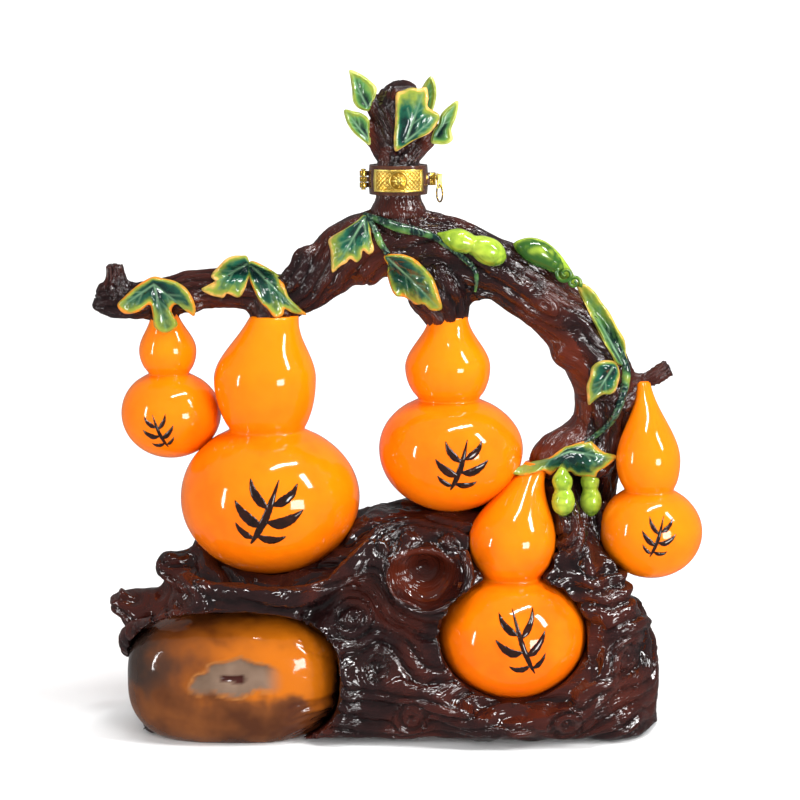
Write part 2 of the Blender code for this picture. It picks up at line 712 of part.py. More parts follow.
def left_stub_stations():
    point, _, _ = vine_at(LEFT_STUB_AT)
    tip = point + Vector((LEFT_STUB_REACH, 0, LEFT_STUB_RISE))
    knee = point.lerp(tip, LEFT_STUB_KNEE_SHARE)
    return [(point, STUB_ROOT_RADIUS), (knee, STUB_TIP_RADIUS), (tip, STUB_TIP_RADIUS)]


# Gourds

class Gourd:
    """One gourd's sizes, and the functions that give its shape."""

    def __init__(
        self, name, radii, depths, seat, x_shares, height_shares, top,
        tear=PLAIN_TEAR_SHARE, lean=0.0, sides=GOURD_SIDES,
    ):
        self.name = name
        self.bulb, self.waist, self.top, self.neck = radii
        self.depth, self.neck_depth = depths
        self.seat, self.lean, self.sides, self.tear = seat, lean, sides, tear
        self.xs = [share * VINE_HALF_SPAN for share in x_shares]
        self.neck_z = top
        height = top - seat
        self.bulb_z, self.waist_z, self.top_z = (seat + share * height for share in height_shares)

    def radius(self, z, inset=0.0):
        if z <= self.bulb_z:
            half = self.bulb_z - self.seat - inset
            return (self.bulb - inset) * sqrt(max(1 - ((self.bulb_z - z) / half) ** 2, 0))
        if z <= self.waist_z:
            reach = (self.waist_z - self.bulb_z) / sqrt(1 - (self.waist / self.bulb) ** 2)
            return self.bulb * sqrt(1 - ((z - self.bulb_z) / reach) ** 2) - inset
        if z <= self.top_z:
            reach = (self.top_z - self.waist_z) / sqrt(1 - (self.waist / self.top) ** 2)
            return self.top * sqrt(1 - ((self.top_z - z) / reach) ** 2) - inset
        t = min((z - self.top_z) / (self.neck_z - self.top_z), 1.0)
        shape = (1 - self.tear) * sqrt(1 - t * t) + self.tear * (1 + cos(pi * t)) / 2
        return self.neck + (self.top - self.neck) * shape - inset

    def centre(self, z):
        """The centre line's x and y at a height."""
        bulb_x, top_x, neck_x = self.xs
        y = self.depth + tan(self.lean) * (z - self.bulb_z)
        if z <= self.top_z:
            t = min(max((z - self.bulb_z) / (self.top_z - self.bulb_z), 0.0), 1.0)
            return bulb_x + (top_x - bulb_x) * t * t * (3 - 2 * t), y
        t = (z - self.top_z) / (self.neck_z - self.top_z)
        neck_y = self.depth + tan(self.lean) * (self.neck_z - self.bulb_z)
        return top_x + (neck_x - top_x) * t * t, y + (self.neck_depth - neck_y) * t * t

    def point(self, z):
        x, y = self.centre(z)
        return Vector((x, y, z))

    def middle(self, z):
        return self.centre(z)[1]

    def ring(self, z, radius, sides):
        x, y = self.centre(z)
        angles = [2 * pi * k / sides for k in range(sides)]
        return [Vector((x + radius * cos(a), y + radius * sin(a), z)) for a in angles]

    def heights(self, inset, counts):
        """Heights of the rings, closest where the shape turns fastest."""
        low = self.seat + inset
        drop = self.bulb_z - low
        lower = [self.bulb_z - drop * cos(pi / 2 * i / counts[0]) for i in range(1, counts[0] + 1)]
        stretches = ((self.bulb_z, self.waist_z), (self.waist_z, self.top_z), (self.top_z, self.neck_z))
        for (start, end), count in zip(stretches, counts[1:]):
            lower += [start + (end - start) * sin(pi / 2 * i / count) for i in range(1, count + 1)]
        return lower

    def solid(self, reach):
        """The outer form with a stem that runs on by reach."""
        rings = [self.ring(z, self.radius(z), self.sides) for z in self.heights(0.0, (GOURD_RINGS, 3, 2, 4))]
        return loft("form", rings + [self.ring(self.neck_z + reach, self.neck, self.sides)])

    def hollow(self):
        """The space inside, closed below the stem."""
        heights = self.heights(GOURD_WALL, (3, 2, 1, 3))[:-1]
        rings = [self.ring(z, self.radius(z, GOURD_WALL), HOLLOW_SIDES) for z in heights]
        return loft("hollow", rings)

    def shell(self, reach):
        bore = rod("bore", self.point(self.top_z), self.point(self.neck_z), STEM_BORE_RADIUS, HOLLOW_SIDES)
        return cut(self.solid(reach), join(self.hollow(), bore))


def stretched(item, middle):
    """The solid with its front half pulled far forward: its outline from the front, as a cutter.

    middle gives the y of its middle at a height.
    """
    for vert in item.data.vertices:
        if vert.co.y < middle(vert.co.z) - FRONT_TOLERANCE:
            vert.co.y -= FRONT_REACH
    return item


def gourds():
    """The five gourds, each reaching from its seat to what it hangs on."""
    def under_vine(x_share):
        point, _, radius = vine_at_x(x_share * VINE_HALF_SPAN)
        return point.z - radius

    stub_knee, stub_radius = right_stub_stations()[1]
    left_top = under_vine(LEFT_X_SHARES[2])
    return {
        "big": Gourd(
            "gourd_big", (BIG_BULB_RADIUS, BIG_WAIST_RADIUS, BIG_TOP_RADIUS, BIG_NECK_RADIUS),
            (BIG_DEPTH, BIG_DEPTH), BIG_SEAT_SHARE * BASE_HEIGHT, BIG_X_SHARES, BIG_HEIGHT_SHARES,
            under_vine(BIG_X_SHARES[2]), BIG_TEAR_SHARE,
        ),
        "middle": Gourd(
            "gourd_middle", (MIDDLE_BULB_RADIUS, MIDDLE_WAIST_RADIUS, MIDDLE_TOP_RADIUS, MIDDLE_NECK_RADIUS),
            (MIDDLE_DEPTH, MIDDLE_DEPTH), MIDDLE_SEAT_SHARE * BASE_HEIGHT, MIDDLE_X_SHARES,
            MIDDLE_HEIGHT_SHARES, MIDDLE_NECK_SHARE * VINE_CREST,
        ),
        "front": Gourd(
            "gourd_front", (FRONT_BULB_RADIUS, FRONT_WAIST_RADIUS, FRONT_TOP_RADIUS, FRONT_NECK_RADIUS),
            (FRONT_DEPTH, FRONT_NECK_DEPTH), FRONT_SEAT_SHARE * BASE_HEIGHT, FRONT_X_SHARES,
            FRONT_HEIGHT_SHARES, FRONT_NECK_TOP_SHARE * VINE_CREST, FRONT_TEAR_SHARE, FRONT_LEAN,
        ),
        "left": Gourd(
            "gourd_left", (LEFT_BULB_RADIUS, LEFT_WAIST_RADIUS, LEFT_TOP_RADIUS, LEFT_NECK_RADIUS),
            (LEFT_DEPTH, 0.0), left_top - LEFT_HEIGHT, LEFT_X_SHARES, LEFT_HEIGHT_SHARES, left_top,
            sides=SMALL_GOURD_SIDES,
        ),
        "right": Gourd(
            "gourd_right", (RIGHT_BULB_RADIUS, RIGHT_WAIST_RADIUS, RIGHT_TOP_RADIUS, RIGHT_NECK_RADIUS),
            (RIGHT_DEPTH, RIGHT_DEPTH), RIGHT_SEAT_SHARE * BASE_HEIGHT, RIGHT_X_SHARES, RIGHT_HEIGHT_SHARES,
            stub_knee.z - stub_radius, RIGHT_TEAR_SHARE, sides=SMALL_GOURD_SIDES,
        ),
    }


def collar(name, gourd, spread, shift):
    """The branch end that a gourd's stem hangs from, widening up into the vine."""
    length = COLLAR_LENGTH_SHARE * VINE_RADIUS
    rings = []
    for share in COLLAR_RING_SHARES:
        middle = gourd.point(gourd.neck_z) + Vector((shift * share, 0, GAP + length * share))
        radius = gourd.neck + spread * share
        angles = [2 * pi * k / COLLAR_SIDES for k in range(COLLAR_SIDES)]
        rings.append([middle + Vector((radius * cos(a), radius * sin(a), 0)) for a in angles])
    return loft(name, rings)


# Base

def base_section(x, top, front, back, inset=0.0, floor=0.0, arc_steps=BASE_ARC_STEPS):
    """One upright cross-section: a flat foot, a rounded edge, and two arcs up to the crest."""
    front, back, top = front - inset, back - inset, top - inset
    peak = BASE_PEAK_SHARE * back
    round_foot = min(FOOT_ROUND, front / 3, top / 3)
    points = [Vector((x, back - round_foot, floor)), Vector((x, -front + round_foot, floor))]
    low = floor + round_foot
    for i in range(2 * arc_steps + 1):
        angle = pi * i / (2 * arc_steps)
        across = abs(cos(angle)) ** (2 / BASE_FULLNESS)
        up = abs(sin(angle)) ** (2 / BASE_FULLNESS)
        reach = -(front + peak) if angle < pi / 2 else back - peak
        points.append(Vector((x, peak + reach * across, low + (top - low) * up)))
    return points


def base_form(name, inset=0.0, floor=0.0, every=1, arc_steps=BASE_ARC_STEPS):
    """The base's outer form, or its hollow when inset by the wall."""
    rings = []
    for x, top, front, back in BASE_STATION_SHARES[::every]:
        place = x * (BASE_HALF_LENGTH - inset)
        sizes = (top * BASE_HEIGHT, front * BASE_FRONT, back * BASE_BACK)
        rings.append(base_section(place, *sizes, inset, floor, arc_steps))
    return loft(name, rings)


def base_place(shares):
    x, y, z = shares
    return Vector((x * BASE_HALF_LENGTH, y * BASE_FRONT, z * BASE_HEIGHT))


def horns():
    """Broken root ends on the left and right of the base."""
    made = []
    for i, (root, tip) in enumerate(HORN_SHARES):
        start, end = base_place(root), base_place(tip)
        knee, knee_radius = start.lerp(end, HORN_KNEE_SHARE), (HORN_ROOT_RADIUS + HORN_TIP_RADIUS) / 2
        stations = [(start, HORN_ROOT_RADIUS), (knee, knee_radius), (end, HORN_TIP_RADIUS)]
        made.append(tube(f"horn_{i}", stations, HORN_SIDES))
    return made


def swell(name, inset=0.0):
    return ellipsoid(
        name, base_place(SWELL_CENTRE_SHARES), [half - inset for half in base_place(SWELL_HALF_SHARES)],
        SWELL_SIDES, SWELL_RINGS,
    )


def bulb_nest(gourd, offset):
    """A coarse ball round a gourd's bulb, open to the front."""
    radius, half = gourd.bulb + offset, gourd.bulb_z - gourd.seat + offset
    ball = ellipsoid("nest", gourd.point(gourd.bulb_z), (radius, radius, half), HOLLOW_SIDES, NEST_RINGS)
    return stretched(ball, gourd.middle)


def boulder_centre():
    return base_place((BOULDER_X_SHARE, BOULDER_Y_SHARE, BOULDER_Z_SHARE))


def boulder_middle(z):
    return boulder_centre().y


def boulder_form(name, offset=0.0, sides=BOULDER_SIDES, rings=BOULDER_RINGS):
    halves = [half + offset for half in (BOULDER_HALF_LENGTH, BOULDER_HALF_DEPTH, BOULDER_HALF_HEIGHT)]
    return ellipsoid(name, boulder_centre(), halves, sides, rings, fullness=BOULDER_FULLNESS)


def under(name, height):
    """Everything below a height, as a cutter."""
    reach = 2 * BASE_HALF_LENGTH
    return block(name, (-reach, -reach, height - reach), (reach, reach, height))


# Leaves, fruit and relief

def draped(name, outline, supports, thickness):
    """A skin of even thickness over the front of its supports, as far as its outline reaches."""
    skin = prism(name, outline, -FRONT_REACH, LEAF_WRAP)
    cover = grown(supports[0], GAP + thickness)
    join(cover, *[grown(support, GAP + thickness) for support in supports[1:]])
    combine(skin, cover, "INTERSECT")
    return cut(skin, *[grown(support, GAP) for support in supports])


def vine_leaf(name, size, outline_shares, place_shares, supports):
    place, sideways, up = place_shares
    point, _, radius = vine_at(place)
    root_x, root_z = point.x + sideways * radius, point.z + up * radius
    outline = [
        (root_x + size * share * cos(radians(degrees)), root_z + size * share * sin(radians(degrees)))
        for degrees, share in outline_shares
    ]
    return draped(name, outline, supports, LEAF_THICKNESS)


def sprig(name, gourd, support, length, lean):
    """A brush-stroke sprig: a stem and four blades, as low relief on a bulb."""
    centre = gourd.point(gourd.bulb_z)
    along = Vector((sin(lean), cos(lean)))
    across = Vector((along.y, -along.x))
    root = Vector((centre.x, centre.z)) - along * (length / 2)

    def blade(start, angle, reach, width):
        forward = along * cos(angle) + across * sin(angle)
        sideways = Vector((forward.y, -forward.x))
        right = [start + forward * (reach * a) + sideways * (width * b) for a, b in SPRIG_BLADE_SHAPE_SHARES]
        left = [point - sideways * (2 * width * b) for point, (_, b) in zip(right, SPRIG_BLADE_SHAPE_SHARES)]
        return [tuple(point) for point in right + left[::-1]]

    shapes = [blade(root, 0.0, length * SPRIG_STEM_REACH_SHARE, length * SPRIG_STEM_SHARE)]
    for share, degrees in SPRIG_BLADES:
        start = root + along * (length * share)
        shapes.append(
            blade(start, radians(degrees), length * SPRIG_BLADE_SHARE, length * SPRIG_BLADE_WIDTH_SHARE)
        )
    strokes = [prism(name, shape, -FRONT_REACH, gourd.depth) for shape in shapes]
    join(strokes[0], *strokes[1:])
    combine(strokes[0], grown(support, GAP + RELIEF_HEIGHT), "INTERSECT")
    return cut(strokes[0], grown(support, GAP))


def on_vine(place, degrees, lift):
    """A point over the vine's skin: 0 degrees is the outer or upper side, 90 the front."""
    point, tangent, radius = vine_at(place)
    normal, side = frame_of(tangent)
    outer = normal if normal.z + normal.x > 0 else -normal
    front = side if side.y < 0 else -side
    angle = radians(degrees)
    return point + (radius + lift) * (cos(angle) * outer + sin(angle) * front)


def fruit_along(name, start, end, length, radius, shares):
    """A small turned fruit between two points, as long as given."""
    axis = (end - start).normalized()
    stations = [(start + axis * (length * along), radius * share) for along, share in shares]
    return tube(name, stations, FRUIT_SIDES)


def strand(name, stops):
    """A thin shoot that winds along the vine's skin."""
    count = len(stops) - 1
    stations = [
        (on_vine(place, degrees, STRAND_LIFT), STRAND_RADIUS * (1 - STRAND_TAPER_SHARE * i / count))
        for i, (place, degrees) in enumerate(stops)
    ]
    return tube(name, stations, STRAND_SIDES)


# Stopper

def cupped_leaf(name, stem, tip, width, outward):
    """A free-standing leaf: pointed, cupped and of even thickness."""
    along = tip - stem
    across = along.cross(outward).normalized()
    face = across.cross(along).normalized()
    depth = face * STOPPER_LEAF_THICKNESS
    rows = []
    for i in range(LEAF_STEPS + 1):
        t = i / LEAF_STEPS
        ripeness = STOPPER_LEAF_STEM_SHARE + t * (1 - STOPPER_LEAF_STEM_SHARE)
        half = width / 2 * max(sin(pi * ripeness) ** STOPPER_LEAF_FULLNESS, STOPPER_LEAF_TIP_SHARE)
        middle = stem + along * t - face * (STOPPER_LEAF_CUP_SHARE * width * sin(pi * t))
        left = middle - across * half + face * (STOPPER_LEAF_CUP_SHARE * half)
        right = middle + across * half + face * (STOPPER_LEAF_CUP_SHARE * half)
        rows.append([left, middle, right, right + depth, middle + depth, left + depth])
    return loft(name, rows)


# Band

def arc_section(name, profile, start, end, steps):
    """A closed (radius, height) profile swept about the neck's axis between two angles."""
    rows = []
    for i in range(steps + 1):
        angle = start + (end - start) * i / steps
        rows.append([Vector((NECK_X + r * cos(angle), r * sin(angle), z)) for r, z in profile])
    return loft(name, rows)


# The whole forms that pieces are fitted to, and the passages between them

class Forms:
    """Whole outer forms, which the pieces are cut from or fitted to. They are dropped at the end."""

    def __init__(self):
        self.hang = gourds()
        left_x = LEFT_X_SHARES[2] * VINE_HALF_SPAN
        self.reach = {
            "big": 0.0, "middle": 0.0, "front": FRONT_NECK_RADIUS * NECK_EMBED_SHARE,
            "left": vine_at_x(left_x)[2] * NECK_EMBED_SHARE, "right": STUB_TIP_RADIUS * NECK_EMBED_SHARE,
        }
        self.solids = {name: gourd.solid(self.reach[name]) for name, gourd in self.hang.items()}
        self.vine = vine_solid()
        self.right_stub = tube("form", right_stub_stations(), STUB_SIDES)
        self.left_stub = tube("form", left_stub_stations(), STUB_SIDES)
        self.swell = swell("form")
        self.base = join(base_form("form"), swell("swell"), *horns())
        self.collars = {
            "big": collar("form", self.hang["big"], BIG_COLLAR_SPREAD, BIG_COLLAR_SHIFT),
            "middle": collar("form", self.hang["middle"], MIDDLE_COLLAR_SPREAD, MIDDLE_COLLAR_SHIFT),
        }

    def drop(self):
        dropped(self.vine, self.right_stub, self.left_stub, self.swell, self.base)
        dropped(*self.solids.values(), *self.collars.values())

    def stem_bore(self, name):
        """From a gourd's stem up into the vine."""
        gourd = self.hang[name]
        low = gourd.point(gourd.neck_z - OVERRUN)
        high = Vector((low.x, low.y, vine_at_x(low.x)[0].z))
        return rod("bore", low, high, STEM_BORE_RADIUS, CHANNEL_SIDES)

    def front_bore(self):
        """From the front gourd's stem back into the trunk."""
        gourd = self.hang["front"]
        low = gourd.point(gourd.neck_z - OVERRUN)
        return rod("bore", low, vine_at(FRONT_BORE_AT)[0], STEM_BORE_RADIUS, CHANNEL_SIDES)

    def seat_bore(self, name):
        """From a gourd's bulb down into the base."""
        gourd = self.hang[name]
        centre = gourd.point(gourd.bulb_z)
        low = Vector((centre.x, centre.y, gourd.seat - 2 * BASE_WALL))
        return rod("bore", centre, low, SEAT_BORE_RADIUS, CHANNEL_SIDES)

    def back_bore(self):
        """From the front gourd's bulb back into the base."""
        centre = self.hang["front"].point(self.hang["front"].bulb_z)
        back = centre + Vector((0, FRONT_BULB_RADIUS + 2 * BASE_WALL, 0))
        return rod("bore", centre, back, SEAT_BORE_RADIUS, CHANNEL_SIDES)

    def side_bore(self):
        """From the right gourd's bulb across into the trunk."""
        gourd = self.hang["right"]
        ends = [Vector((x, RIGHT_BORE_DEPTH, gourd.bulb_z)) for x in (gourd.xs[0], vine_at(1.0)[0].x)]
        return rod("bore", *ends, STEM_BORE_RADIUS, CHANNEL_SIDES)


class Levels:
    """Heights up the neck, worked out from the vine's crest under it."""

    def __init__(self):
        crest, _, radius = vine_at_x(NECK_X)
        self.crest = crest.z
        self.neck = crest.z + radius
        self.flange = self.neck + NECK_RISE
        self.flange_top = self.flange + NECK_FLANGE_HEIGHT
        self.stopper = self.flange_top + GAP
        self.stump = self.stopper + STOPPER_FLANGE_HEIGHT
        self.band = self.flange - GAP - BAND_LIP_HEIGHT
        self.band_top = self.band + BAND_HEIGHT
        self.band_middle = (self.band + self.band_top) / 2
        self.lock = self.band_middle + LOCK_AXIS_RISE
        self.tongue_top = self.lock - LOCK_RADIUS + LOCK_BITE
        self.tongue = self.tongue_top - TONGUE_HEIGHT


def finishes():
    return {
        "bark": glazed("dark_glaze", (0.055, 0.016, 0.014), 0.12),
        "amber": glazed("amber_glaze", (0.42, 0.15, 0.03), 0.12),
        "orange": glazed("orange_glaze", (0.86, 0.22, 0.008), 0.08),
        "ink": glazed("ink_glaze", (0.02, 0.006, 0.006), 0.15),
        "green": glazed("leaf_glaze", (0.05, 0.15, 0.07), 0.12),
        "lime": glazed("fruit_glaze", (0.27, 0.42, 0.04), 0.10),
        "gold": glazed("gold_metal", (0.83, 0.57, 0.16), 0.25, 1.0),
        "enamel": glazed("brown_enamel", (0.06, 0.025, 0.018), 0.2),
        "silicone": glazed("seal_silicone", (0.72, 0.70, 0.64), 0.5),
    }


# Pieces

def build_vine(forms, levels, bark):
    trunk = vine_length("trunk", 0.0, TRUNK_END)
    arch = vine_length("arch", TRUNK_END, ARCH_END)
    bough = vine_length("left_bough", ARCH_END, len(VINE_ROUTE_SHARES) - 1, LEFT_CHANNEL_END)
    cut(trunk, grown(forms.solids["right"], GAP), forms.side_bore(), forms.front_bore())
    crest, mouth = Vector((NECK_X, 0, levels.crest)), Vector((NECK_X, 0, levels.flange))
    cut(arch, forms.stem_bore("middle"), rod("bore", crest, mouth, NECK_BORE_RADIUS))
    cut(bough, forms.stem_bore("big"), forms.stem_bore("left"))
    finished(trunk, "trunk", bark)
    finished(arch, "arch", bark)
    finished(bough, "left_bough", bark)


def build_branch_ends(forms, bark):
    finished(cut(copied(forms.right_stub), grown(forms.vine, GAP)), "right_stub", bark)
    finished(cut(copied(forms.left_stub), grown(forms.vine, GAP)), "left_stub", bark)
    for name, form in forms.collars.items():
        finished(cut(copied(form), grown(forms.vine, GAP), forms.stem_bore(name)), name + "_stem", bark)


def build_gourds(forms, orange):
    shells = {name: gourd.shell(forms.reach[name]) for name, gourd in forms.hang.items()}
    cut(shells["big"], grown(forms.vine, GAP), forms.seat_bore("big"), forms.stem_bore("big"))
    cut(shells["middle"], forms.seat_bore("middle"), forms.stem_bore("middle"))
    cut(shells["left"], grown(forms.vine, GAP), grown(forms.solids["big"], GAP), forms.stem_bore("left"))
    cut(shells["front"], grown(forms.vine, GAP), grown(forms.solids["middle"], GAP))
    cut(shells["front"], forms.back_bore(), forms.front_bore())
    cut(shells["right"], grown(forms.right_stub, GAP), forms.side_bore())
    for name, shell in shells.items():
        finished(shell, "gourd_" + name, orange)


def boulder_vent():
    end = boulder_centre() + Vector((0, BOULDER_HALF_DEPTH + 2 * BASE_WALL, 0))
    return rod("vent", boulder_centre(), end, BOULDER_VENT_RADIUS, CHANNEL_SIDES)


def build_boulder(amber):
    rock = cut(boulder_form("boulder"), under("floor", 0.0))
    hollow = boulder_form("hollow", -BOULDER_WALL, HOLLOW_SIDES, NEST_RINGS)
    cut(hollow, under("floor", BOULDER_WALL))
    finished(cut(rock, hollow, boulder_vent()), "boulder", amber)


def base_cavity(forms):
    """The space inside the base, kept a wall away from all that is set into it."""
    cavity = base_form("cavity", BASE_WALL, BASE_WALL, 2, HOLLOW_ARC_STEPS)
    cut(cavity, *[bulb_nest(forms.hang[name], BASE_WALL) for name in ("big", "middle", "front")])
    cut(cavity, stretched(boulder_form("wall", BASE_WALL, HOLLOW_SIDES, NEST_RINGS), boulder_middle))
    socket = [(vine_at(place)[0], vine_at(place)[2] + BASE_WALL) for place in (0.0, 1.0, 2.0)]
    socket.insert(0, (socket[0][0] - Vector((0, 0, BASE_WALL)), socket[0][1]))
    return cut(cavity, tube("socket_wall", socket, HOLLOW_SIDES))


def build_base(forms, bark):
    base = copied(forms.base)
    for name in ("big", "middle", "front"):
        cut(base, stretched(grown(forms.solids[name], GAP), forms.hang[name].middle))
    cut(base, grown(forms.solids["right"], GAP), grown(forms.vine, GAP))
    cut(base, stretched(boulder_form("nest", GAP), boulder_middle))
    knot_halves = (KNOT_HALF_LENGTH, KNOT_HALF_DEPTH, KNOT_HALF_HEIGHT)
    cut(base, ellipsoid("knot", base_place(KNOT_CENTRE_SHARES), knot_halves, KNOT_SIDES, NEST_RINGS))
    cut(base, base_cavity(forms))
    point, _, radius = vine_at(0.0)
    mouth_top, mouth_low = point + Vector((0, 0, OVERRUN)), point - Vector((0, 0, 3 * BASE_WALL))
    cut(base, rod("mouth", mouth_top, mouth_low, radius - VINE_WALL, CHANNEL_SIDES))
    cut(base, forms.seat_bore("big"), forms.seat_bore("middle"), forms.back_bore(), forms.front_bore())
    finished(cut(base, boulder_vent()), "root_base", bark)


def build_neck(forms, levels, bark):
    neck = turned("neck", [
        (NECK_BORE_RADIUS, levels.neck - NECK_THROAT), (NECK_FLARE_RADIUS, levels.neck - NECK_THROAT),
        (NECK_FLARE_RADIUS, levels.neck + NECK_FLARE_HEIGHT), (NECK_RADIUS, levels.flange - NECK_STRAIGHT),
        (NECK_RADIUS, levels.flange), (NECK_FLANGE_RADIUS, levels.flange),
        (NECK_FLANGE_RADIUS, levels.flange_top), (NECK_BORE_RADIUS, levels.flange_top),
    ], NECK_X)
    return finished(cut(neck, grown(forms.vine, GAP)), "neck", bark)


def build_leaves(forms, green):
    vine, solids, collars = forms.vine, forms.solids, forms.collars
    plans = {
        "left_leaf": (
            LEFT_LEAF_SIZE, LEFT_LEAF_SHARES, LEFT_LEAF_PLACE_SHARES, [vine, solids["left"]],
        ),
        "crown_leaf_left": (
            CROWN_LEFT_SIZE, CROWN_LEFT_SHARES, CROWN_LEFT_PLACE_SHARES, [vine, collars["big"]],
        ),
        "crown_leaf_right": (
            CROWN_RIGHT_SIZE, CROWN_RIGHT_SHARES, CROWN_RIGHT_PLACE_SHARES,
            [vine, collars["big"], solids["big"]],
        ),
        "arch_leaf": (ARCH_LEAF_SIZE, ARCH_LEAF_SHARES, ARCH_LEAF_PLACE_SHARES, [vine]),
        "drooping_leaf": (
            DROOPING_LEAF_SIZE, DROOPING_LEAF_SHARES, DROOPING_LEAF_PLACE_SHARES,
            [vine, collars["middle"]],
        ),
        "outer_leaf": (OUTER_LEAF_SIZE, OUTER_LEAF_SHARES, OUTER_LEAF_PLACE_SHARES, [vine]),
        "trunk_leaf": (TRUNK_LEAF_SIZE, TRUNK_LEAF_SHARES, TRUNK_LEAF_PLACE_SHARES, [vine]),
        "low_leaf": (
            LOW_LEAF_SIZE, LOW_LEAF_SHARES, LOW_LEAF_PLACE_SHARES, [vine, forms.swell, solids["front"]],
        ),
    }
    return {name: finished(vine_leaf(name, *plan), name, green) for name, plan in plans.items()}


def build_arch_fruit(forms, lime):
    lift = YOUNG_GOURD_RADIUS * FRUIT_LIFT_SHARE
    start = on_vine(YOUNG_GOURD_FROM, YOUNG_GOURD_DEGREES, lift)
    end = on_vine(YOUNG_GOURD_TO, YOUNG_GOURD_DEGREES, lift)
    young = fruit_along("young_gourd", start, end, YOUNG_GOURD_LENGTH, YOUNG_GOURD_RADIUS, YOUNG_GOURD_SHARES)
    finished(cut(young, grown(forms.vine, GAP)), "young_gourd", lime)
    start, end = (on_vine(place, POD_DEGREES, POD_RADIUS * FRUIT_LIFT_SHARE) for place in (POD_FROM, POD_TO))
    pod = fruit_along("pod", start, end, (end - start).length, POD_RADIUS, POD_SHARES)
    finished(cut(pod, grown(forms.vine, GAP)), "pod", lime)
    return young


def build_low_fruit(forms, leaves, lime):
    neighbours = [forms.base, forms.vine, forms.solids["front"], forms.solids["right"], leaves["low_leaf"]]
    for name, shares in (
        ("low_gourd_left", LOW_GOURD_LEFT_SHARES), ("low_gourd_right", LOW_GOURD_RIGHT_SHARES),
    ):
        point, _, radius = vine_at(shares[0])
        top = point + radius * Vector((shares[1], shares[2], 0))
        low = top - Vector((0, 0, LOW_GOURD_LENGTH))
        fruit = fruit_along(name, top, low, LOW_GOURD_LENGTH, LOW_GOURD_RADIUS, YOUNG_GOURD_SHARES)
        finished(cut(fruit, *[grown(item, GAP) for item in neighbours]), name, lime)


def build_strands(forms, leaves, young, neck, green):
    beside_arch = [forms.vine, young, leaves["arch_leaf"], neck, forms.collars["middle"]]
    arch_strand = cut(strand("arch_strand", ARCH_STRAND), *[grown(item, GAP) for item in beside_arch])
    finished(arch_strand, "arch_strand", green)
    beside_trunk = [
        forms.vine, leaves["outer_leaf"], leaves["trunk_leaf"], leaves["low_leaf"], forms.right_stub,
        forms.solids["right"],
    ]
    trunk_strand = cut(strand("trunk_strand", TRUNK_STRAND), *[grown(item, GAP) for item in beside_trunk])
    finished(trunk_strand, "trunk_strand", green)


def build_relief(forms, ink):
    lengths = {
        "big": BIG_SPRIG_LENGTH, "middle": MIDDLE_SPRIG_LENGTH, "front": FRONT_SPRIG_LENGTH,
        "left": LEFT_SPRIG_LENGTH, "right": RIGHT_SPRIG_LENGTH,
    }
    for key, length in lengths.items():
        name = "relief_" + key
        finished(sprig(name, forms.hang[key], forms.solids[key], length, SPRIG_LEAN), name, ink)


def build_stopper(levels, glazes):
    def stump_place(shares):
        x, y, z = shares
        return Vector((NECK_X + x * STUMP_RADIUS, y * STUMP_RADIUS, levels.stump + z * STUMP_HEIGHT))

    stopper = disc_solid("stopper", [
        (PLUG_RADIUS, levels.stopper - PLUG_LENGTH), (PLUG_RADIUS, levels.stopper),
        (NECK_FLANGE_RADIUS, levels.stopper), (NECK_FLANGE_RADIUS, levels.stump),
        *[(STUMP_RADIUS * r, levels.stump + STUMP_HEIGHT * h) for r, h in STUMP_SHARES],
    ], NECK_X, sides=STUMP_SIDES)
    for start, end in TWIG_SHARES:
        stations = [(stump_place(start), TWIG_ROOT_RADIUS), (stump_place(end), TWIG_TIP_RADIUS)]
        join(stopper, tube("twig", stations, TWIG_SIDES))
    pieces = [finished(stopper, "stopper", glazes["bark"])]
    for name, (start, end, width) in STOPPER_LEAF_SHARES.items():
        outward = Vector((0, 1 if start[1] > 0 else -1, 0))
        leaf = cupped_leaf(name, stump_place(start), stump_place(end), width * STUMP_RADIUS, outward)
        pieces.append(finished(cut(leaf, grown(stopper, GAP)), name, glazes["green"]))
    pieces.append(build_seal(levels, glazes["silicone"]))
    pivoted(pieces, Vector((NECK_X, 0, levels.stopper)))


def build_seal(levels, silicone):
    top = levels.stopper - GAP
    low = top - SEAL_LENGTH
    profile = [(PLUG_RADIUS + GAP, low)]
    for i in range(SEAL_LIPS):
        lip = low + i * SEAL_LENGTH / SEAL_LIPS
        profile += [
            (SEAL_SLEEVE_RADIUS, lip), (SEAL_LIP_RADIUS, lip + SEAL_LIP_HEIGHT / 2),
            (SEAL_SLEEVE_RADIUS, lip + SEAL_LIP_HEIGHT),
        ]
    profile += [(SEAL_SLEEVE_RADIUS, top), (PLUG_RADIUS + GAP, top)]
    return finished(turned("stopper_seal", profile, NECK_X, sides=STUMP_SIDES), "stopper_seal", silicone)


def band_half(name, levels, start, end):
    profile = [
        (BAND_LIP_RADIUS, levels.band), (BAND_EDGE_RADIUS, levels.band),
        (BAND_BULGE_RADIUS, levels.band_middle), (BAND_EDGE_RADIUS, levels.band_top),
        (BAND_INNER_RADIUS, levels.band_top), (BAND_INNER_RADIUS, levels.band + BAND_LIP_HEIGHT),
        (BAND_LIP_RADIUS, levels.band + BAND_LIP_HEIGHT),
    ]
    split_angle = BAND_SPLIT / 2 / BAND_INNER_RADIUS
    return arc_section(name, profile, start + split_angle, end - split_angle, BAND_STEPS)


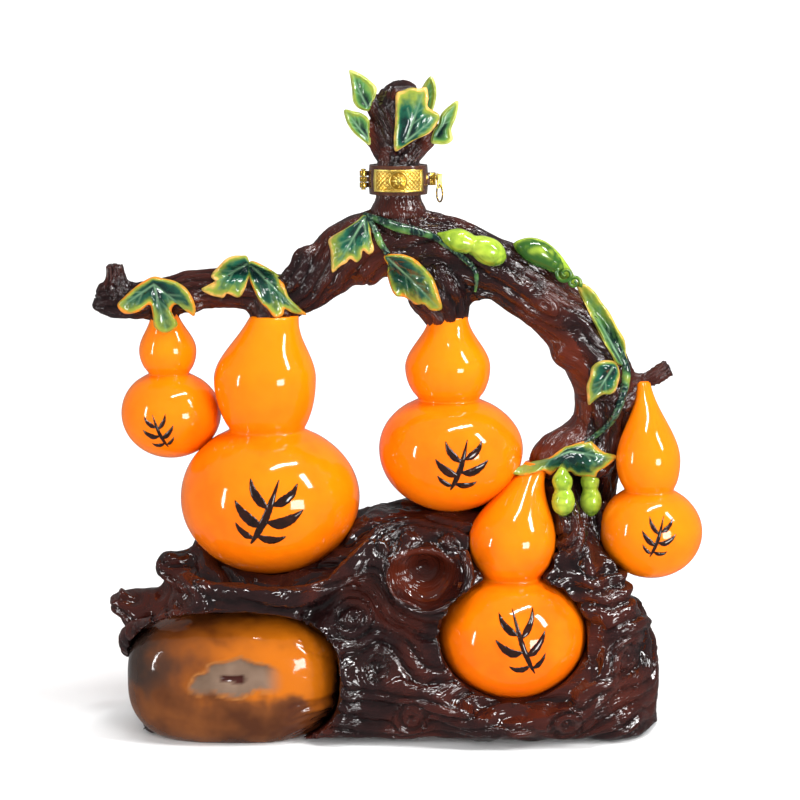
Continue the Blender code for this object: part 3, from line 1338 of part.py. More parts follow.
def add_knuckle(half, levels, level, side):
    """One hinge knuckle, and the lug that carries it behind or in front of the split."""
    low = levels.band_middle + level * (KNUCKLE_HEIGHT + GAP) - KNUCKLE_HEIGHT / 2
    top = low + KNUCKLE_HEIGHT
    knuckle = rod("knuckle", Vector((HINGE_X, 0, low)), Vector((HINGE_X, 0, top)), KNUCKLE_RADIUS)
    near, far = sorted((side * BAND_SPLIT, side * (KNUCKLE_RADIUS - GAP / 2)))
    lug_end = NECK_X - BAND_INNER_RADIUS - GAP
    lug = block("lug", (HINGE_X, near, low + GAP / 2), (lug_end, far, top - GAP / 2))
    join(half, lug, knuckle)


def hinge_pin_ends(levels):
    reach = 1.5 * KNUCKLE_HEIGHT + 2 * GAP
    return levels.band_middle - reach, levels.band_middle + reach


def cut_hinge_bore(half, levels):
    low, top = hinge_pin_ends(levels)
    ends = Vector((HINGE_X, 0, low - OVERRUN)), Vector((HINGE_X, 0, top + OVERRUN))
    cut(half, rod("bore", *ends, HINGE_PIN_RADIUS + HINGE_BORE_CLEARANCE))


def lock_axis(levels, start, end):
    return [Vector((x, LOCK_BACK, levels.lock)) for x in (start, end)]


def build_band_rear(levels, enamel):
    """The fixed half: it carries the outer knuckles and the housing of the lock."""
    rear = band_half("band_rear", levels, 0.0, pi)
    for level in (-1, 1):
        add_knuckle(rear, levels, level, 1)
    cut_hinge_bore(rear, levels)
    low, top = levels.band_middle - HOUSING_HEIGHT / 2, levels.band_middle + HOUSING_HEIGHT / 2
    join(rear, block("housing", (ANCHOR_X, BAND_SPLIT, low), (HOUSING_X, HOUSING_BACK, top)))
    cut(rear, block(
        "slot", (TONGUE_X - GAP, -OVERRUN, levels.tongue - GAP),
        (SLOT_X, TONGUE_REACH + TONGUE_CLEARANCE, levels.tongue_top + GAP),
    ))
    cut(rear, rod("bore", *lock_axis(levels, TONGUE_X - GAP, HOUSING_X + OVERRUN), LOCK_RADIUS + GAP))
    finished(rear, "band_rear", enamel)


def build_band_front(levels, enamel, gold):
    """The half that opens: it carries the middle knuckle, the tongue and the plate."""
    front = band_half("band_front", levels, pi, 2 * pi)
    add_knuckle(front, levels, 0, -1)
    cut_hinge_bore(front, levels)
    tongue_out = TONGUE_X + TONGUE_THICKNESS
    join(front, block(
        "root", (ANCHOR_X, -TONGUE_ROOT, levels.tongue), (tongue_out, -BAND_SPLIT, levels.tongue_top),
    ))
    join(front, block(
        "tongue", (TONGUE_X, -TONGUE_ROOT, levels.tongue), (tongue_out, TONGUE_REACH, levels.tongue_top),
    ))
    cut(front, rod("notch", *lock_axis(levels, TONGUE_X - OVERRUN, HOUSING_X), LOCK_RADIUS + GAP))
    finished(front, "band_front", enamel)
    pivoted([front, build_plate(levels, gold)], Vector((HINGE_X, 0, levels.band_middle)))


def build_plate(levels, gold):
    """The gold plate round the front half, with a raised rim."""
    inside = BAND_BULGE_RADIUS + GAP
    face = inside + PLATE_THICKNESS
    rim = face + PLATE_RIM_RISE
    low, top = levels.band_middle - PLATE_HEIGHT / 2, levels.band_middle + PLATE_HEIGHT / 2
    plate = arc_section("band_plate", [
        (inside, low), (rim, low), (rim, low + PLATE_RIM_WIDTH), (face, low + PLATE_RIM_WIDTH),
        (face, top - PLATE_RIM_WIDTH), (rim, top - PLATE_RIM_WIDTH), (rim, top), (inside, top),
    ], 1.5 * pi - PLATE_HALF_ANGLE, 1.5 * pi + PLATE_HALF_ANGLE, PLATE_STEPS)
    return finished(plate, "band_plate", gold)


def build_hinge_pin(levels, gold):
    low, top = hinge_pin_ends(levels)
    pin = disc_solid("hinge_pin", [
        (HINGE_PIN_HEAD_RADIUS, low - HINGE_PIN_HEAD), (HINGE_PIN_HEAD_RADIUS, low),
        (HINGE_PIN_RADIUS, low), (HINGE_PIN_RADIUS, top), (HINGE_PIN_HEAD_RADIUS, top),
        (HINGE_PIN_HEAD_RADIUS, top + HINGE_PIN_HEAD),
    ], HINGE_X, sides=SMALL_SIDES)
    finished(pin, "hinge_pin", gold)


def build_lock(levels, gold):
    """The half-round core, drawn unlocked with its flat down, and the eye that carries the ring."""
    core_end = HOUSING_X + GAP + LOCK_HEAD_LENGTH / 2
    core = rod("lock_core", *lock_axis(levels, TONGUE_X, core_end), LOCK_RADIUS)
    flat = levels.lock - LOCK_FLAT
    flat_low = (TONGUE_X - OVERRUN, LOCK_BACK - OVERRUN, flat - OVERRUN)
    cut(core, block("flat", flat_low, (SLOT_X, LOCK_BACK + OVERRUN, flat)))
    head = lock_axis(levels, HOUSING_X + GAP, HOUSING_X + GAP + LOCK_HEAD_LENGTH)
    join(core, rod("head", *head, LOCK_HEAD_RADIUS))
    turn = Matrix.Rotation(RING_YAW, 4, "Z")
    centre = head[0] + Vector((GAP + EYE_WIDTH / 2, 0, -EYE_DROP))
    half_width, half_thickness = EYE_WIDTH / 2, EYE_THICKNESS / 2
    eye = block(
        "eye", (-half_width, -half_thickness, -EYE_EDGE), (half_width, half_thickness, EYE_DROP + EYE_EDGE),
    )
    eye.data.transform(Matrix.Translation(centre) @ turn)
    join(core, eye)
    axis = turn.to_3x3() @ Vector((0, 1, 0))
    cut(core, rod("bore", centre - axis * OVERRUN, centre + axis * OVERRUN, EYE_BORE_RADIUS))
    finished(core, "lock_core", gold)
    pivoted([core], head[0])
    build_ring(centre, axis, gold)


def build_ring(eye, axis, gold):
    """The pull ring, hanging from the eye."""
    centre = eye - Vector((0, 0, RING_RADIUS))
    flatwise = axis.cross(Vector((0, 0, 1)))
    rows = []
    for i in range(RING_STEPS):
        angle = 2 * pi * i / RING_STEPS
        out = axis * sin(angle) + Vector((0, 0, cos(angle)))
        turns = [2 * pi * k / WIRE_SIDES for k in range(WIRE_SIDES)]
        rows.append([
            centre + out * (RING_RADIUS + RING_WIRE_RADIUS * cos(a)) + flatwise * (RING_WIRE_RADIUS * sin(a))
            for a in turns
        ])
    ring = finished(loft("pull_ring", rows, loop=True), "pull_ring", gold)
    pivoted([ring], eye)


def build():
    clear_scene()
    glazes = finishes()
    forms, levels = Forms(), Levels()
    build_vine(forms, levels, glazes["bark"])
    build_branch_ends(forms, glazes["bark"])
    build_gourds(forms, glazes["orange"])
    build_boulder(glazes["amber"])
    build_base(forms, glazes["bark"])
    neck = build_neck(forms, levels, glazes["bark"])
    leaves = build_leaves(forms, glazes["green"])
    young = build_arch_fruit(forms, glazes["lime"])
    build_low_fruit(forms, leaves, glazes["lime"])
    build_strands(forms, leaves, young, neck, glazes["green"])
    build_relief(forms, glazes["ink"])
    build_stopper(levels, glazes)
    build_band_rear(levels, glazes["enamel"])
    build_band_front(levels, glazes["enamel"], glazes["gold"])
    build_hinge_pin(levels, glazes["gold"])
    build_lock(levels, glazes["gold"])
    forms.drop()


build()
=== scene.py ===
# %% [markdown]
# # A ceramic bottle of gourds on a vine
# The bottle is one glazed casting: five gourds hang on an arched vine that grows out of a
# root-wood base, and a leafy stopper closes the neck under a hinged locking band. The CAD part
# gives every place and motion. This lesson builds the looks around it, piece by piece.

# %% Load the frame
from math import cos, pi, radians, sin, sqrt, tan

import bmesh
import bpy
import numpy as np
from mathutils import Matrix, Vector, noise
from mathutils.bvhtree import BVHTree
from mathutils.kdtree import KDTree


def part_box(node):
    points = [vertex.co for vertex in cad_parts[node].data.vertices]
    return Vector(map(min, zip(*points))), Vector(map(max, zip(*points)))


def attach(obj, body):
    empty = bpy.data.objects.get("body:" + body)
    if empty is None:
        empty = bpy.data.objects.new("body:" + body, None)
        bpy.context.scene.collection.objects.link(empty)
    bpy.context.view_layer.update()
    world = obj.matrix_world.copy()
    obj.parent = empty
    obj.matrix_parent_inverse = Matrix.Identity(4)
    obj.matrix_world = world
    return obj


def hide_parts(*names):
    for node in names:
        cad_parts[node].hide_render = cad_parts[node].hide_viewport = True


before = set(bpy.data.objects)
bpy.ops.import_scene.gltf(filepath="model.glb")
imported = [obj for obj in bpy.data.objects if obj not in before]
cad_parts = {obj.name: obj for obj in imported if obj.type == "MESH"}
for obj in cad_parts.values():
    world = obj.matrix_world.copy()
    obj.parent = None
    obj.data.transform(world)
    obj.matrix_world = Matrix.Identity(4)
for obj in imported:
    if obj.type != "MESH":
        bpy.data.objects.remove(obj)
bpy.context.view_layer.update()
MM = 0.001

# %% [markdown]
# ## Camera
# The photograph was taken from a little above with a long lens. The camera looks at the middle
# of the bottle, 9 degrees down, and its lens is worked out from the size of one pixel there.

# %% Camera
CAMERA_DISTANCE = 1.25
CAMERA_ELEVATION = radians(9.0)
PICTURE_WIDTH = 800                      # pixels
PIXEL = 0.52 * MM                        # size of one of them at the middle of the bottle
SENSOR = 36.0                            # width of the camera's sensor, mm
LOOK_AT = Vector((3.6, 0, 171.0)) * MM


def in_scene(name, data):
    """An object for a mesh, a lamp or a camera, linked to the scene."""
    obj = bpy.data.objects.new(name, data)
    bpy.context.scene.collection.objects.link(obj)
    return obj


camera_data = bpy.data.cameras.new("camera")
camera = in_scene("camera", camera_data)
towards = Vector((0, -cos(CAMERA_ELEVATION), sin(CAMERA_ELEVATION)))
camera.location = LOOK_AT + CAMERA_DISTANCE * towards
camera.rotation_euler = (pi / 2 - CAMERA_ELEVATION, 0, 0)
camera_data.sensor_width = SENSOR
camera_data.lens = SENSOR * CAMERA_DISTANCE / (PIXEL * PICTURE_WIDTH)
bpy.context.scene.camera = camera
print("camera lens:", round(camera_data.lens, 1), "mm")


# %% [markdown]
# ## Helpers
# A few small tools are used all through. They turn lists of points into a mesh object, run
# modifiers and keep only their result, melt forms into one skin, and hand a finished piece to the
# frame, so that it moves with the right body and hides the CAD node it stands for.

# %% Helpers for meshes
def new_object(name, verts, faces, material=None):
    """A smooth-shaded object whose faces all point outwards."""
    mesh = bpy.data.meshes.new(name)
    work = bmesh.new()
    points = [work.verts.new(v) for v in verts]
    for face in faces:
        work.faces.new([points[i] for i in face])
    bmesh.ops.recalc_face_normals(work, faces=work.faces)
    work.to_mesh(mesh)
    work.free()
    mesh.shade_smooth()
    if material:
        mesh.materials.append(material)
    return in_scene(name, mesh)


def line_object(name, points):
    """A chain of points, for a Geometry Nodes tree to work on."""
    mesh = bpy.data.meshes.new(name)
    mesh.from_pydata(points, [(k, k + 1) for k in range(len(points) - 1)], [])
    return in_scene(name, mesh)


def shaped(obj, *modifiers):
    """Runs modifiers, given as (kind, settings), and keeps the result as a plain mesh."""
    for kind, settings in modifiers:
        modifier = obj.modifiers.new(kind.lower(), kind)
        for key, value in settings.items():
            setattr(modifier, key, value)
    graph = bpy.context.evaluated_depsgraph_get()
    mesh = bpy.data.meshes.new_from_object(obj.evaluated_get(graph))
    obj.modifiers.clear()
    old = obj.data
    obj.data = mesh
    bpy.data.meshes.remove(old)
    return obj


def melted(obj, voxel, rounds):
    """Melts the forms in a mesh into one even skin, with voxels of so many mm, and smooths it."""
    return shaped(obj, ("REMESH", {"mode": "VOXEL", "voxel_size": voxel * MM}),
                  ("SMOOTH", {"factor": 0.5, "iterations": rounds}))


def painted(obj, paint):
    """Gives a piece its one material, smooth-shaded."""
    obj.data.materials.clear()
    obj.data.materials.append(paint)
    obj.data.shade_smooth()
    return obj


def dropped(*objects):
    for obj in objects:
        bpy.data.objects.remove(obj, do_unlink=True)


def joined(name, *objects):
    """Several closed forms in one mesh."""
    work = bmesh.new()
    for obj in objects:
        work.from_mesh(obj.data)
    mesh = bpy.data.meshes.new(name)
    work.to_mesh(mesh)
    work.free()
    made = in_scene(name, mesh)
    dropped(*objects)
    return made


def keep(obj, body, slot, *nodes):
    """Puts a finished piece on its body, in place of CAD nodes."""
    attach(obj, body)
    if nodes:
        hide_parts(*nodes)
    obj.data.calc_loop_triangles()
    print(obj.name, "on", body, "with", len(obj.data.loop_triangles), "triangles")


# %% Helpers for lofted forms
def loft(rings):
    """Vertices and faces of a closed skin over rings that have the same number of points."""
    count = len(rings[0])
    verts = [point for ring in rings for point in ring]
    faces = []
    for i in range(len(rings) - 1):
        for k in range(count):
            a, b = i * count + k, i * count + (k + 1) % count
            faces.append((a, b, b + count, a + count))
    faces.append(tuple(reversed(range(count))))
    faces.append(tuple(range(len(verts) - count, len(verts))))
    return verts, faces


def tube_rings(stations, sides):
    """Rings along a path of (point, radius), turned as little as can be from one to the next."""
    points = [point for point, _ in stations]
    side = None
    rings = []
    for i, (point, radius) in enumerate(stations):
        along = (points[min(i + 1, len(points) - 1)] - points[max(i - 1, 0)]).normalized()
        if side is None:
            side = along.orthogonal().normalized()
        side = (side - along * side.dot(along)).normalized()
        other = along.cross(side)
        angles = [2 * pi * k / sides for k in range(sides)]
        rings.append([point + radius * (cos(a) * side + sin(a) * other) for a in angles])
    return rings


def smooth_path(stations, steps):
    """A Catmull-Rom curve through (point, radius) stations, with steps between each two."""
    rows = np.array([[*point, radius] for point, radius in stations])
    rows = np.vstack([2 * rows[0] - rows[1], rows, 2 * rows[-1] - rows[-2]])
    made = []
    for i in range(1, len(rows) - 2):
        a, b, c, d = rows[i - 1:i + 3]
        for k in range(steps + (i == len(rows) - 3)):
            t = k / steps
            row = 0.5 * (2 * b + (c - a) * t + (2 * a - 5 * b + 4 * c - d) * t * t
                         + (3 * b - a - 3 * c + d) * t ** 3)
            made.append((Vector(row[:3]), float(max(row[3], 0.2 * MM))))
    return made


def tube(name, stations, sides, material=None):
    return new_object(name, *loft(tube_rings(stations, sides)), material)


def in_mm(*rows):
    """Rows of (x, y, z, radius) in millimetres, as stations."""
    return [(Vector(row[:3]) * MM, float(row[3]) * MM) for row in rows]


# %% [markdown]
# ## Floor and light
# The backdrop is one pale sheet that curves up behind the bottle, so no horizon shows. Glossy
# glaze is drawn by what it reflects: a small square softbox at the right gives each bulb its
# window-like highlight, a second one high behind gives the spark on its shoulder, and long
# strips put thin white lines on every ridge of the dark wood.

# %% Backdrop
HALF_WIDTH = 8.0                         # of the sheet, in metres like the rest of it
FOLD_AT, FOLD_RADIUS = 0.9, 0.6          # how far behind the bottle it curves up, and how gently
WALL_HEIGHT = 3.2


def backdrop():
    run = [(-HALF_WIDTH, 0.0), (FOLD_AT, 0.0)]
    run += [(FOLD_AT + FOLD_RADIUS * sin(a), FOLD_RADIUS - FOLD_RADIUS * cos(a))
            for a in np.linspace(0.15, pi / 2, 12)]
    run.append((FOLD_AT + FOLD_RADIUS, WALL_HEIGHT))
    verts = [(x, y, z) for y, z in run for x in (-HALF_WIDTH, HALF_WIDTH)]
    faces = [(2 * i, 2 * i + 1, 2 * i + 3, 2 * i + 2) for i in range(len(run) - 1)]
    return new_object("backdrop", verts, faces)


floor = backdrop()
floor_paint = bpy.data.materials.new("pale_floor")
floor_paint.use_nodes = True
floor_shader = floor_paint.node_tree.nodes["Principled BSDF"]
floor_shader.inputs["Base Color"].default_value = (0.92, 0.92, 0.92, 1)
floor_shader.inputs["Roughness"].default_value = 1.0
floor_shader.inputs["Specular IOR Level"].default_value = 0.0
floor.data.materials.append(floor_paint)
floor.visible_glossy = False             # the dark glaze reflects the lamps, and not the floor


# %% Lamps
def softbox(name, place, size, power, glossy=True, target=LOOK_AT):
    lamp = bpy.data.lights.new(name, "AREA")
    lamp.shape = "RECTANGLE"
    lamp.size, lamp.size_y = size
    lamp.energy = power
    obj = in_scene(name, lamp)
    obj.location = place
    obj.rotation_euler = (target - Vector(place)).to_track_quat("-Z", "Y").to_euler()
    obj.visible_glossy = glossy


# name, place, width and height, and power in watts
softbox("right_window", (0.68, -0.98, 0.20), (0.34, 0.34), 6.5)
softbox("shoulder_light", (0.76, -0.42, 0.86), (0.12, 0.42), 7.0)
softbox("ridge_light", (0.25, -0.30, 1.25), (0.7, 0.07), 9.0)
softbox("low_strip", (-0.95, -0.55, 0.30), (0.05, 0.5), 3.0)
softbox("front_fill", (-0.2, -1.9, 1.3), (2.2, 1.6), 23.0, glossy=False)
softbox("back_fill", (0.4, 1.2, 1.6), (1.4, 1.0), 7.0, glossy=False)
softbox("wall_wash", (0.0, 0.5, 1.5), (2.4, 0.4), 14.0, glossy=False, target=Vector((0, 1.5, 1.0)))
world = bpy.data.worlds.new("studio")
bpy.context.scene.world = world
world.use_nodes = True
world.node_tree.nodes["Background"].inputs["Color"].default_value = (0.25, 0.25, 0.25, 1)
bpy.context.scene.view_settings.view_transform = "Standard"
print("lamps:", len(bpy.data.lights))

# %% [markdown]
# ## Glazes
# Every colour here is fired glaze: paint under a thick, glassy coat that pools in hollows and
# thins on ridges. Two node groups do what all the glazes share. "Glaze clouds" gives soft
# patches where the sprayed colour came out stronger, and "Glaze ripple" gives the faint
# unevenness of the coat, which breaks up its reflections.

# %% Node helpers
def new_group(name, output, **inputs):
    """A shader node group of plain numbers, with named inputs and their defaults."""
    group = bpy.data.node_groups.new(name, "ShaderNodeTree")
    for label, default in inputs.items():
        socket = group.interface.new_socket(label, in_out="INPUT", socket_type="NodeSocketFloat")
        socket.default_value = default
    group.interface.new_socket(output, in_out="OUTPUT", socket_type="NodeSocketFloat")
    return group, group.nodes.new("NodeGroupInput"), group.nodes.new("NodeGroupOutput")


def feed(tree, socket, value):
    """Sets an input to a value, or links it where the value is another node's socket."""
    if isinstance(value, bpy.types.NodeSocket):
        tree.links.new(value, socket)
    else:
        socket.default_value = value


def wire(tree, kind, settings=None, **inputs):
    """Adds a node. Its inputs are given by name, with spaces written as underscores."""
    node = tree.nodes.new(kind)
    for key, value in (settings or {}).items():
        setattr(node, key, value)
    for key, value in inputs.items():
        feed(tree, node.inputs[key.replace("_", " ")], value)
    return node


def math_node(tree, operation, *values, clamp=False):
    node = wire(tree, "ShaderNodeMath", {"operation": operation, "use_clamp": clamp})
    for socket, value in zip(node.inputs, values):
        feed(tree, socket, value)
    return node.outputs[0]


def span(tree, value, low, high, to_low=0.0, to_high=1.0):
    """Maps a value from one range to another and clamps it, with soft ends."""
    node = wire(tree, "ShaderNodeMapRange", {"interpolation_type": "SMOOTHSTEP"}, Value=value,
                From_Min=low, From_Max=high, To_Min=to_low, To_Max=to_high)
    return node.outputs["Result"]


def blend(tree, factor, first, second):
    """A colour between two others."""
    node = wire(tree, "ShaderNodeMix", {"data_type": "RGBA"})
    for place, value in ((0, factor), (6, first), (7, second)):      # a Mix node's colour inputs
        feed(tree, node.inputs[place], value)
    return node.outputs[2]


def cloud(tree, vector, scale, detail):
    node = wire(tree, "ShaderNodeTexNoise", Vector=vector, Scale=scale, Detail=detail,
                Roughness=0.5)
    return node.outputs["Fac"]


def glaze_clouds():
    group, given, made = new_group("Glaze clouds", "Cloud", Size=25.0, Contrast=0.5)
    place = group.nodes.new("ShaderNodeTexCoord").outputs["Object"]
    wide = cloud(group, place, given.outputs["Size"], 3.0)
    fine = cloud(group, place, math_node(group, "MULTIPLY", given.outputs["Size"], 3.7), 2.0)
    both = math_node(group, "MULTIPLY_ADD", fine, 0.35, math_node(group, "MULTIPLY", wide, 0.65))
    spread = math_node(group, "SUBTRACT", both, 0.5)
    gain = math_node(group, "MULTIPLY", given.outputs["Contrast"], 5.0)
    fill = math_node(group, "MULTIPLY_ADD", spread, gain, 0.5, clamp=True)
    group.links.new(fill, made.inputs["Cloud"])
    return group


def glaze_ripple():
    group, given, made = new_group("Glaze ripple", "Height", Size=90.0)
    place = group.nodes.new("ShaderNodeTexCoord").outputs["Object"]
    slow = cloud(group, place, given.outputs["Size"], 1.0)
    quick = cloud(group, place, math_node(group, "MULTIPLY", given.outputs["Size"], 6.0), 1.0)
    group.links.new(math_node(group, "MULTIPLY_ADD", quick, 0.06, slow), made.inputs["Height"])
    return group


CLOUDS, RIPPLE = glaze_clouds(), glaze_ripple()
print("shared groups:", CLOUDS.name, "and", RIPPLE.name)


# %% A glaze, from which all the materials start
class Glaze:
    """One material: a glossy shader, with nodes that are added line by line."""

    def __init__(self, name, roughness, metallic=0.0, coat=0.0):
        self.material = bpy.data.materials.new(name)
        self.material.use_nodes = True
        self.tree = self.material.node_tree
        self.shader = self.tree.nodes["Principled BSDF"]
        self.shader.inputs["Roughness"].default_value = roughness
        self.shader.inputs["Metallic"].default_value = metallic
        self.shader.inputs["Coat Weight"].default_value = coat
        self.shader.inputs["Coat Roughness"].default_value = 0.03

    def group(self, group, **inputs):
        return wire(self.tree, "ShaderNodeGroup", {"node_tree": group}, **inputs).outputs[0]

    def attribute(self, name):
        return wire(self.tree, "ShaderNodeAttribute", {"attribute_name": name})

    def place(self):
        split = wire(self.tree, "ShaderNodeSeparateXYZ",
                     Vector=self.tree.nodes.new("ShaderNodeTexCoord").outputs["Object"])
        return [split.outputs[axis] for axis in "XYZ"]

    def colour(self, socket):
        self.tree.links.new(socket, self.shader.inputs["Base Color"])

    def bump(self, height, distance):
        node = wire(self.tree, "ShaderNodeBump", Height=height, Strength=1.0, Distance=distance)
        self.tree.links.new(node.outputs[0], self.shader.inputs["Normal"])


def ink(red, green, blue):
    """A colour as a paint shop writes it, 0 to 255, in the light values that shaders use."""
    values = [v / 255 for v in (red, green, blue)]
    return (*[v / 12.92 if v <= 0.04045 else ((v + 0.055) / 1.055) ** 2.4 for v in values], 1.0)


# %% [markdown]
# ## The orange of the gourds
# A gourd is sprayed twice: amber-yellow all over, then red-orange round the stem, the waist and
# the seat. Its mesh carries that second coat as an attribute, and with it painted shade, which
# reddens and darkens the left and right sides of each bulb. The clouds push the edge of the coat
# about, as a spray does.

# %% Gourd glaze
def gourd_glaze():
    glaze = Glaze("orange_glaze", 0.07)
    tree = glaze.tree
    clouds = glaze.group(CLOUDS, Size=22.0, Contrast=0.6)
    # The attribute holds the red-orange spray and painted shade on each bulb's left and right
    # sides.
    spray_and_side_shade = math_node(tree, "MULTIPLY_ADD", math_node(tree, "SUBTRACT", clouds, 0.5), 0.22,
                      glaze.attribute("spray_and_side_shade").outputs["Fac"])
    warm = blend(tree, span(tree, spray_and_side_shade, 0.05, 0.6), ink(251, 164, 6), ink(245, 122, 5))
    glaze.colour(blend(tree, span(tree, spray_and_side_shade, 0.55, 1.1), warm, ink(220, 60, 6)))
    glaze.bump(glaze.group(RIPPLE, Size=38.0), 0.0006)
    return glaze.material


ORANGE = gourd_glaze()

# %% [markdown]
# ## The dark glaze of the wood
# Carved bark under a brown-black glaze: nearly black in the grooves, wine brown on the ridges,
# with redder patches where the glaze ran thin. The wood's meshes carry two attributes, made with
# their carving: ridge, 1 on top of a ridge and 0 in a groove, and grain, coordinates that run
# along and across the fibres, so that the finest lines can follow them as bump.

# %% Wood glaze
def bark_glaze():
    glaze = Glaze("dark_glaze", 0.08)
    tree = glaze.tree
    clouds = glaze.group(CLOUDS, Size=16.0, Contrast=0.8)
    ridge = glaze.attribute("ridge").outputs["Fac"]
    deep = blend(tree, clouds, ink(12, 6, 7), ink(22, 10, 10))
    thin = blend(tree, span(tree, clouds, 0.35, 0.85), ink(32, 15, 15), ink(56, 23, 18))
    body = blend(tree, span(tree, ridge, 0.15, 1.0), deep, thin)
    rust = glaze.attribute("rust").outputs["Fac"]
    glaze.colour(blend(tree, rust, body, ink(80, 30, 17)))
    fibres = cloud(tree, glaze.attribute("grain").outputs["Vector"], 1.0, 1.5)
    line = math_node(tree, "ABSOLUTE", math_node(tree, "SUBTRACT", fibres, 0.5))
    height = math_node(tree, "MULTIPLY_ADD", span(tree, line, 0.0, 0.16), 1.0,
                       math_node(tree, "MULTIPLY", glaze.group(RIPPLE, Size=120.0), 0.5))
    glaze.bump(height, 0.00016)
    return glaze.material


BARK = bark_glaze()

# %% [markdown]
# ## Amber, leaf, fruit and brush glazes
# The boulder runs from amber through orange to smoky brown, with a painted highlight that
# brightens its right side and painted shade that darkens its lower part. Leaves are dark green in
# the middle, yellow-green further out and cream or amber at the rim, with pale streaks along the
# veins that are painted highlights. The young gourds are lime, and the brush marks on the bulbs
# are near black.

# %% Boulder glaze
def boulder_glaze():
    glaze = Glaze("amber_glaze", 0.1)
    tree = glaze.tree
    x, _, z = glaze.place()
    clouds = glaze.group(CLOUDS, Size=20.0, Contrast=0.9)
    shift = math_node(tree, "MULTIPLY", math_node(tree, "SUBTRACT", clouds, 0.5), 0.022)
    height = math_node(tree, "ADD", z, shift)
    across = math_node(tree, "ADD", x, shift)
    # Painted highlight: the amber brightens towards the boulder's right side, where the lamps
    # stand.
    amber_and_painted_highlight = blend(tree, span(tree, across, -0.110, -0.060), ink(124, 66, 22), ink(184, 98, 14))
    upper = blend(tree, span(tree, across, -0.128, -0.098), ink(52, 38, 32), amber_and_painted_highlight)
    # Painted shade: the lower part of the boulder is a darker brown.
    low = blend(tree, clouds, ink(74, 38, 17), ink(120, 68, 30))
    body = blend(tree, span(tree, height, 0.022, 0.036), low, upper)
    body = blend(tree, span(tree, height, 0.052, 0.078), body, ink(66, 30, 16))
    agate = blend(tree, glaze.attribute("geode").outputs["Fac"], body,
                  blend(tree, clouds, ink(84, 66, 52), ink(122, 100, 84)))
    lipped = blend(tree, glaze.attribute("lip").outputs["Fac"], agate, ink(150, 96, 48))
    glaze.colour(blend(tree, glaze.attribute("slot").outputs["Fac"], lipped, ink(66, 30, 24)))
    glaze.bump(glaze.group(RIPPLE, Size=60.0), 0.0012)
    return glaze.material


# %% Leaf glaze
def leaf_glaze(name, rim, middle):
    """Dark at the stem and the veins' roots, through green, to a pale or amber rim."""
    glaze = Glaze(name, 0.09, coat=0.25)
    tree = glaze.tree
    clouds = glaze.group(CLOUDS, Size=70.0, Contrast=0.8)
    edge = math_node(tree, "MULTIPLY_ADD", math_node(tree, "SUBTRACT", clouds, 0.5), 0.34,
                     glaze.attribute("edge").outputs["Fac"])
    vein_highlight = glaze.attribute("vein_highlight").outputs["Fac"]
    heart = blend(tree, span(tree, edge, 0.10, 0.55), ink(10, 34, 32), middle)
    outer = blend(tree, span(tree, edge, 0.42, 0.84), heart, ink(128, 142, 50))
    rimmed = blend(tree, span(tree, edge, 0.82, 1.12), outer, rim)
    # Painted highlight: pale streaks along the veins, fading out towards the rim.
    streak = math_node(tree, "MULTIPLY", vein_highlight, math_node(tree, "SUBTRACT", 1.0, edge), clamp=True)
    glaze.colour(blend(tree, math_node(tree, "MULTIPLY", streak, 0.7), rimmed, ink(126, 168, 128)))
    glaze.bump(glaze.group(RIPPLE, Size=160.0), 0.0005)
    return glaze.material


BOULDER_PAINT = boulder_glaze()
AMBER_LEAF = leaf_glaze("amber_leaf_glaze", ink(222, 132, 40), ink(24, 70, 52))
PALE_RIM_LEAF = leaf_glaze("pale_rim_leaf_glaze", ink(232, 176, 96), ink(22, 84, 62))
LIME_LEAF = leaf_glaze("lime_leaf_glaze", ink(196, 168, 72), ink(70, 112, 56))
PALE_LEAF = leaf_glaze("pale_leaf_glaze", ink(206, 214, 116), ink(74, 122, 62))


# %% Fruit and brush glazes
def fruit_glaze():
    glaze = Glaze("fruit_glaze", 0.08, coat=0.25)
    tree = glaze.tree
    clouds = glaze.group(CLOUDS, Size=60.0, Contrast=0.7)
    green = blend(tree, clouds, ink(126, 160, 40), ink(176, 196, 66))
    glaze.colour(blend(tree, glaze.attribute("shade").outputs["Fac"], green, ink(44, 84, 30)))
    glaze.bump(glaze.group(RIPPLE, Size=110.0), 0.0005)
    return glaze.material


def brush_glaze():
    glaze = Glaze("ink_glaze", 0.1, coat=0.2)
    clouds = glaze.group(CLOUDS, Size=120.0, Contrast=0.6)
    glaze.colour(blend(glaze.tree, clouds, ink(14, 6, 5), ink(46, 18, 10)))
    glaze.bump(glaze.group(RIPPLE, Size=200.0), 0.0004)
    return glaze.material


FRUIT, BRUSH = fruit_glaze(), brush_glaze()


# %% Metals of the band, and the seal
NECK_X = 2.754                           # where the neck's axis stands, mm
GILT_FROM, GILT_TO = 16.0, 16.6          # mm off that axis over which lacquer gives way to gilt


def gold_metal():
    glaze = Glaze("gold_metal", 0.22, metallic=1.0)
    tree = glaze.tree
    clouds = glaze.group(CLOUDS, Size=180.0, Contrast=0.7)
    groove = glaze.attribute("groove").outputs["Fac"]
    bright = blend(tree, clouds, ink(250, 210, 84), ink(255, 236, 140))
    glaze.colour(blend(tree, groove, bright, ink(214, 158, 54)))
    rough = span(tree, clouds, 0.0, 1.0, 0.28, 0.42)
    tree.links.new(rough, glaze.shader.inputs["Roughness"])
    glaze.bump(glaze.group(RIPPLE, Size=400.0), 0.0002)
    return glaze.material


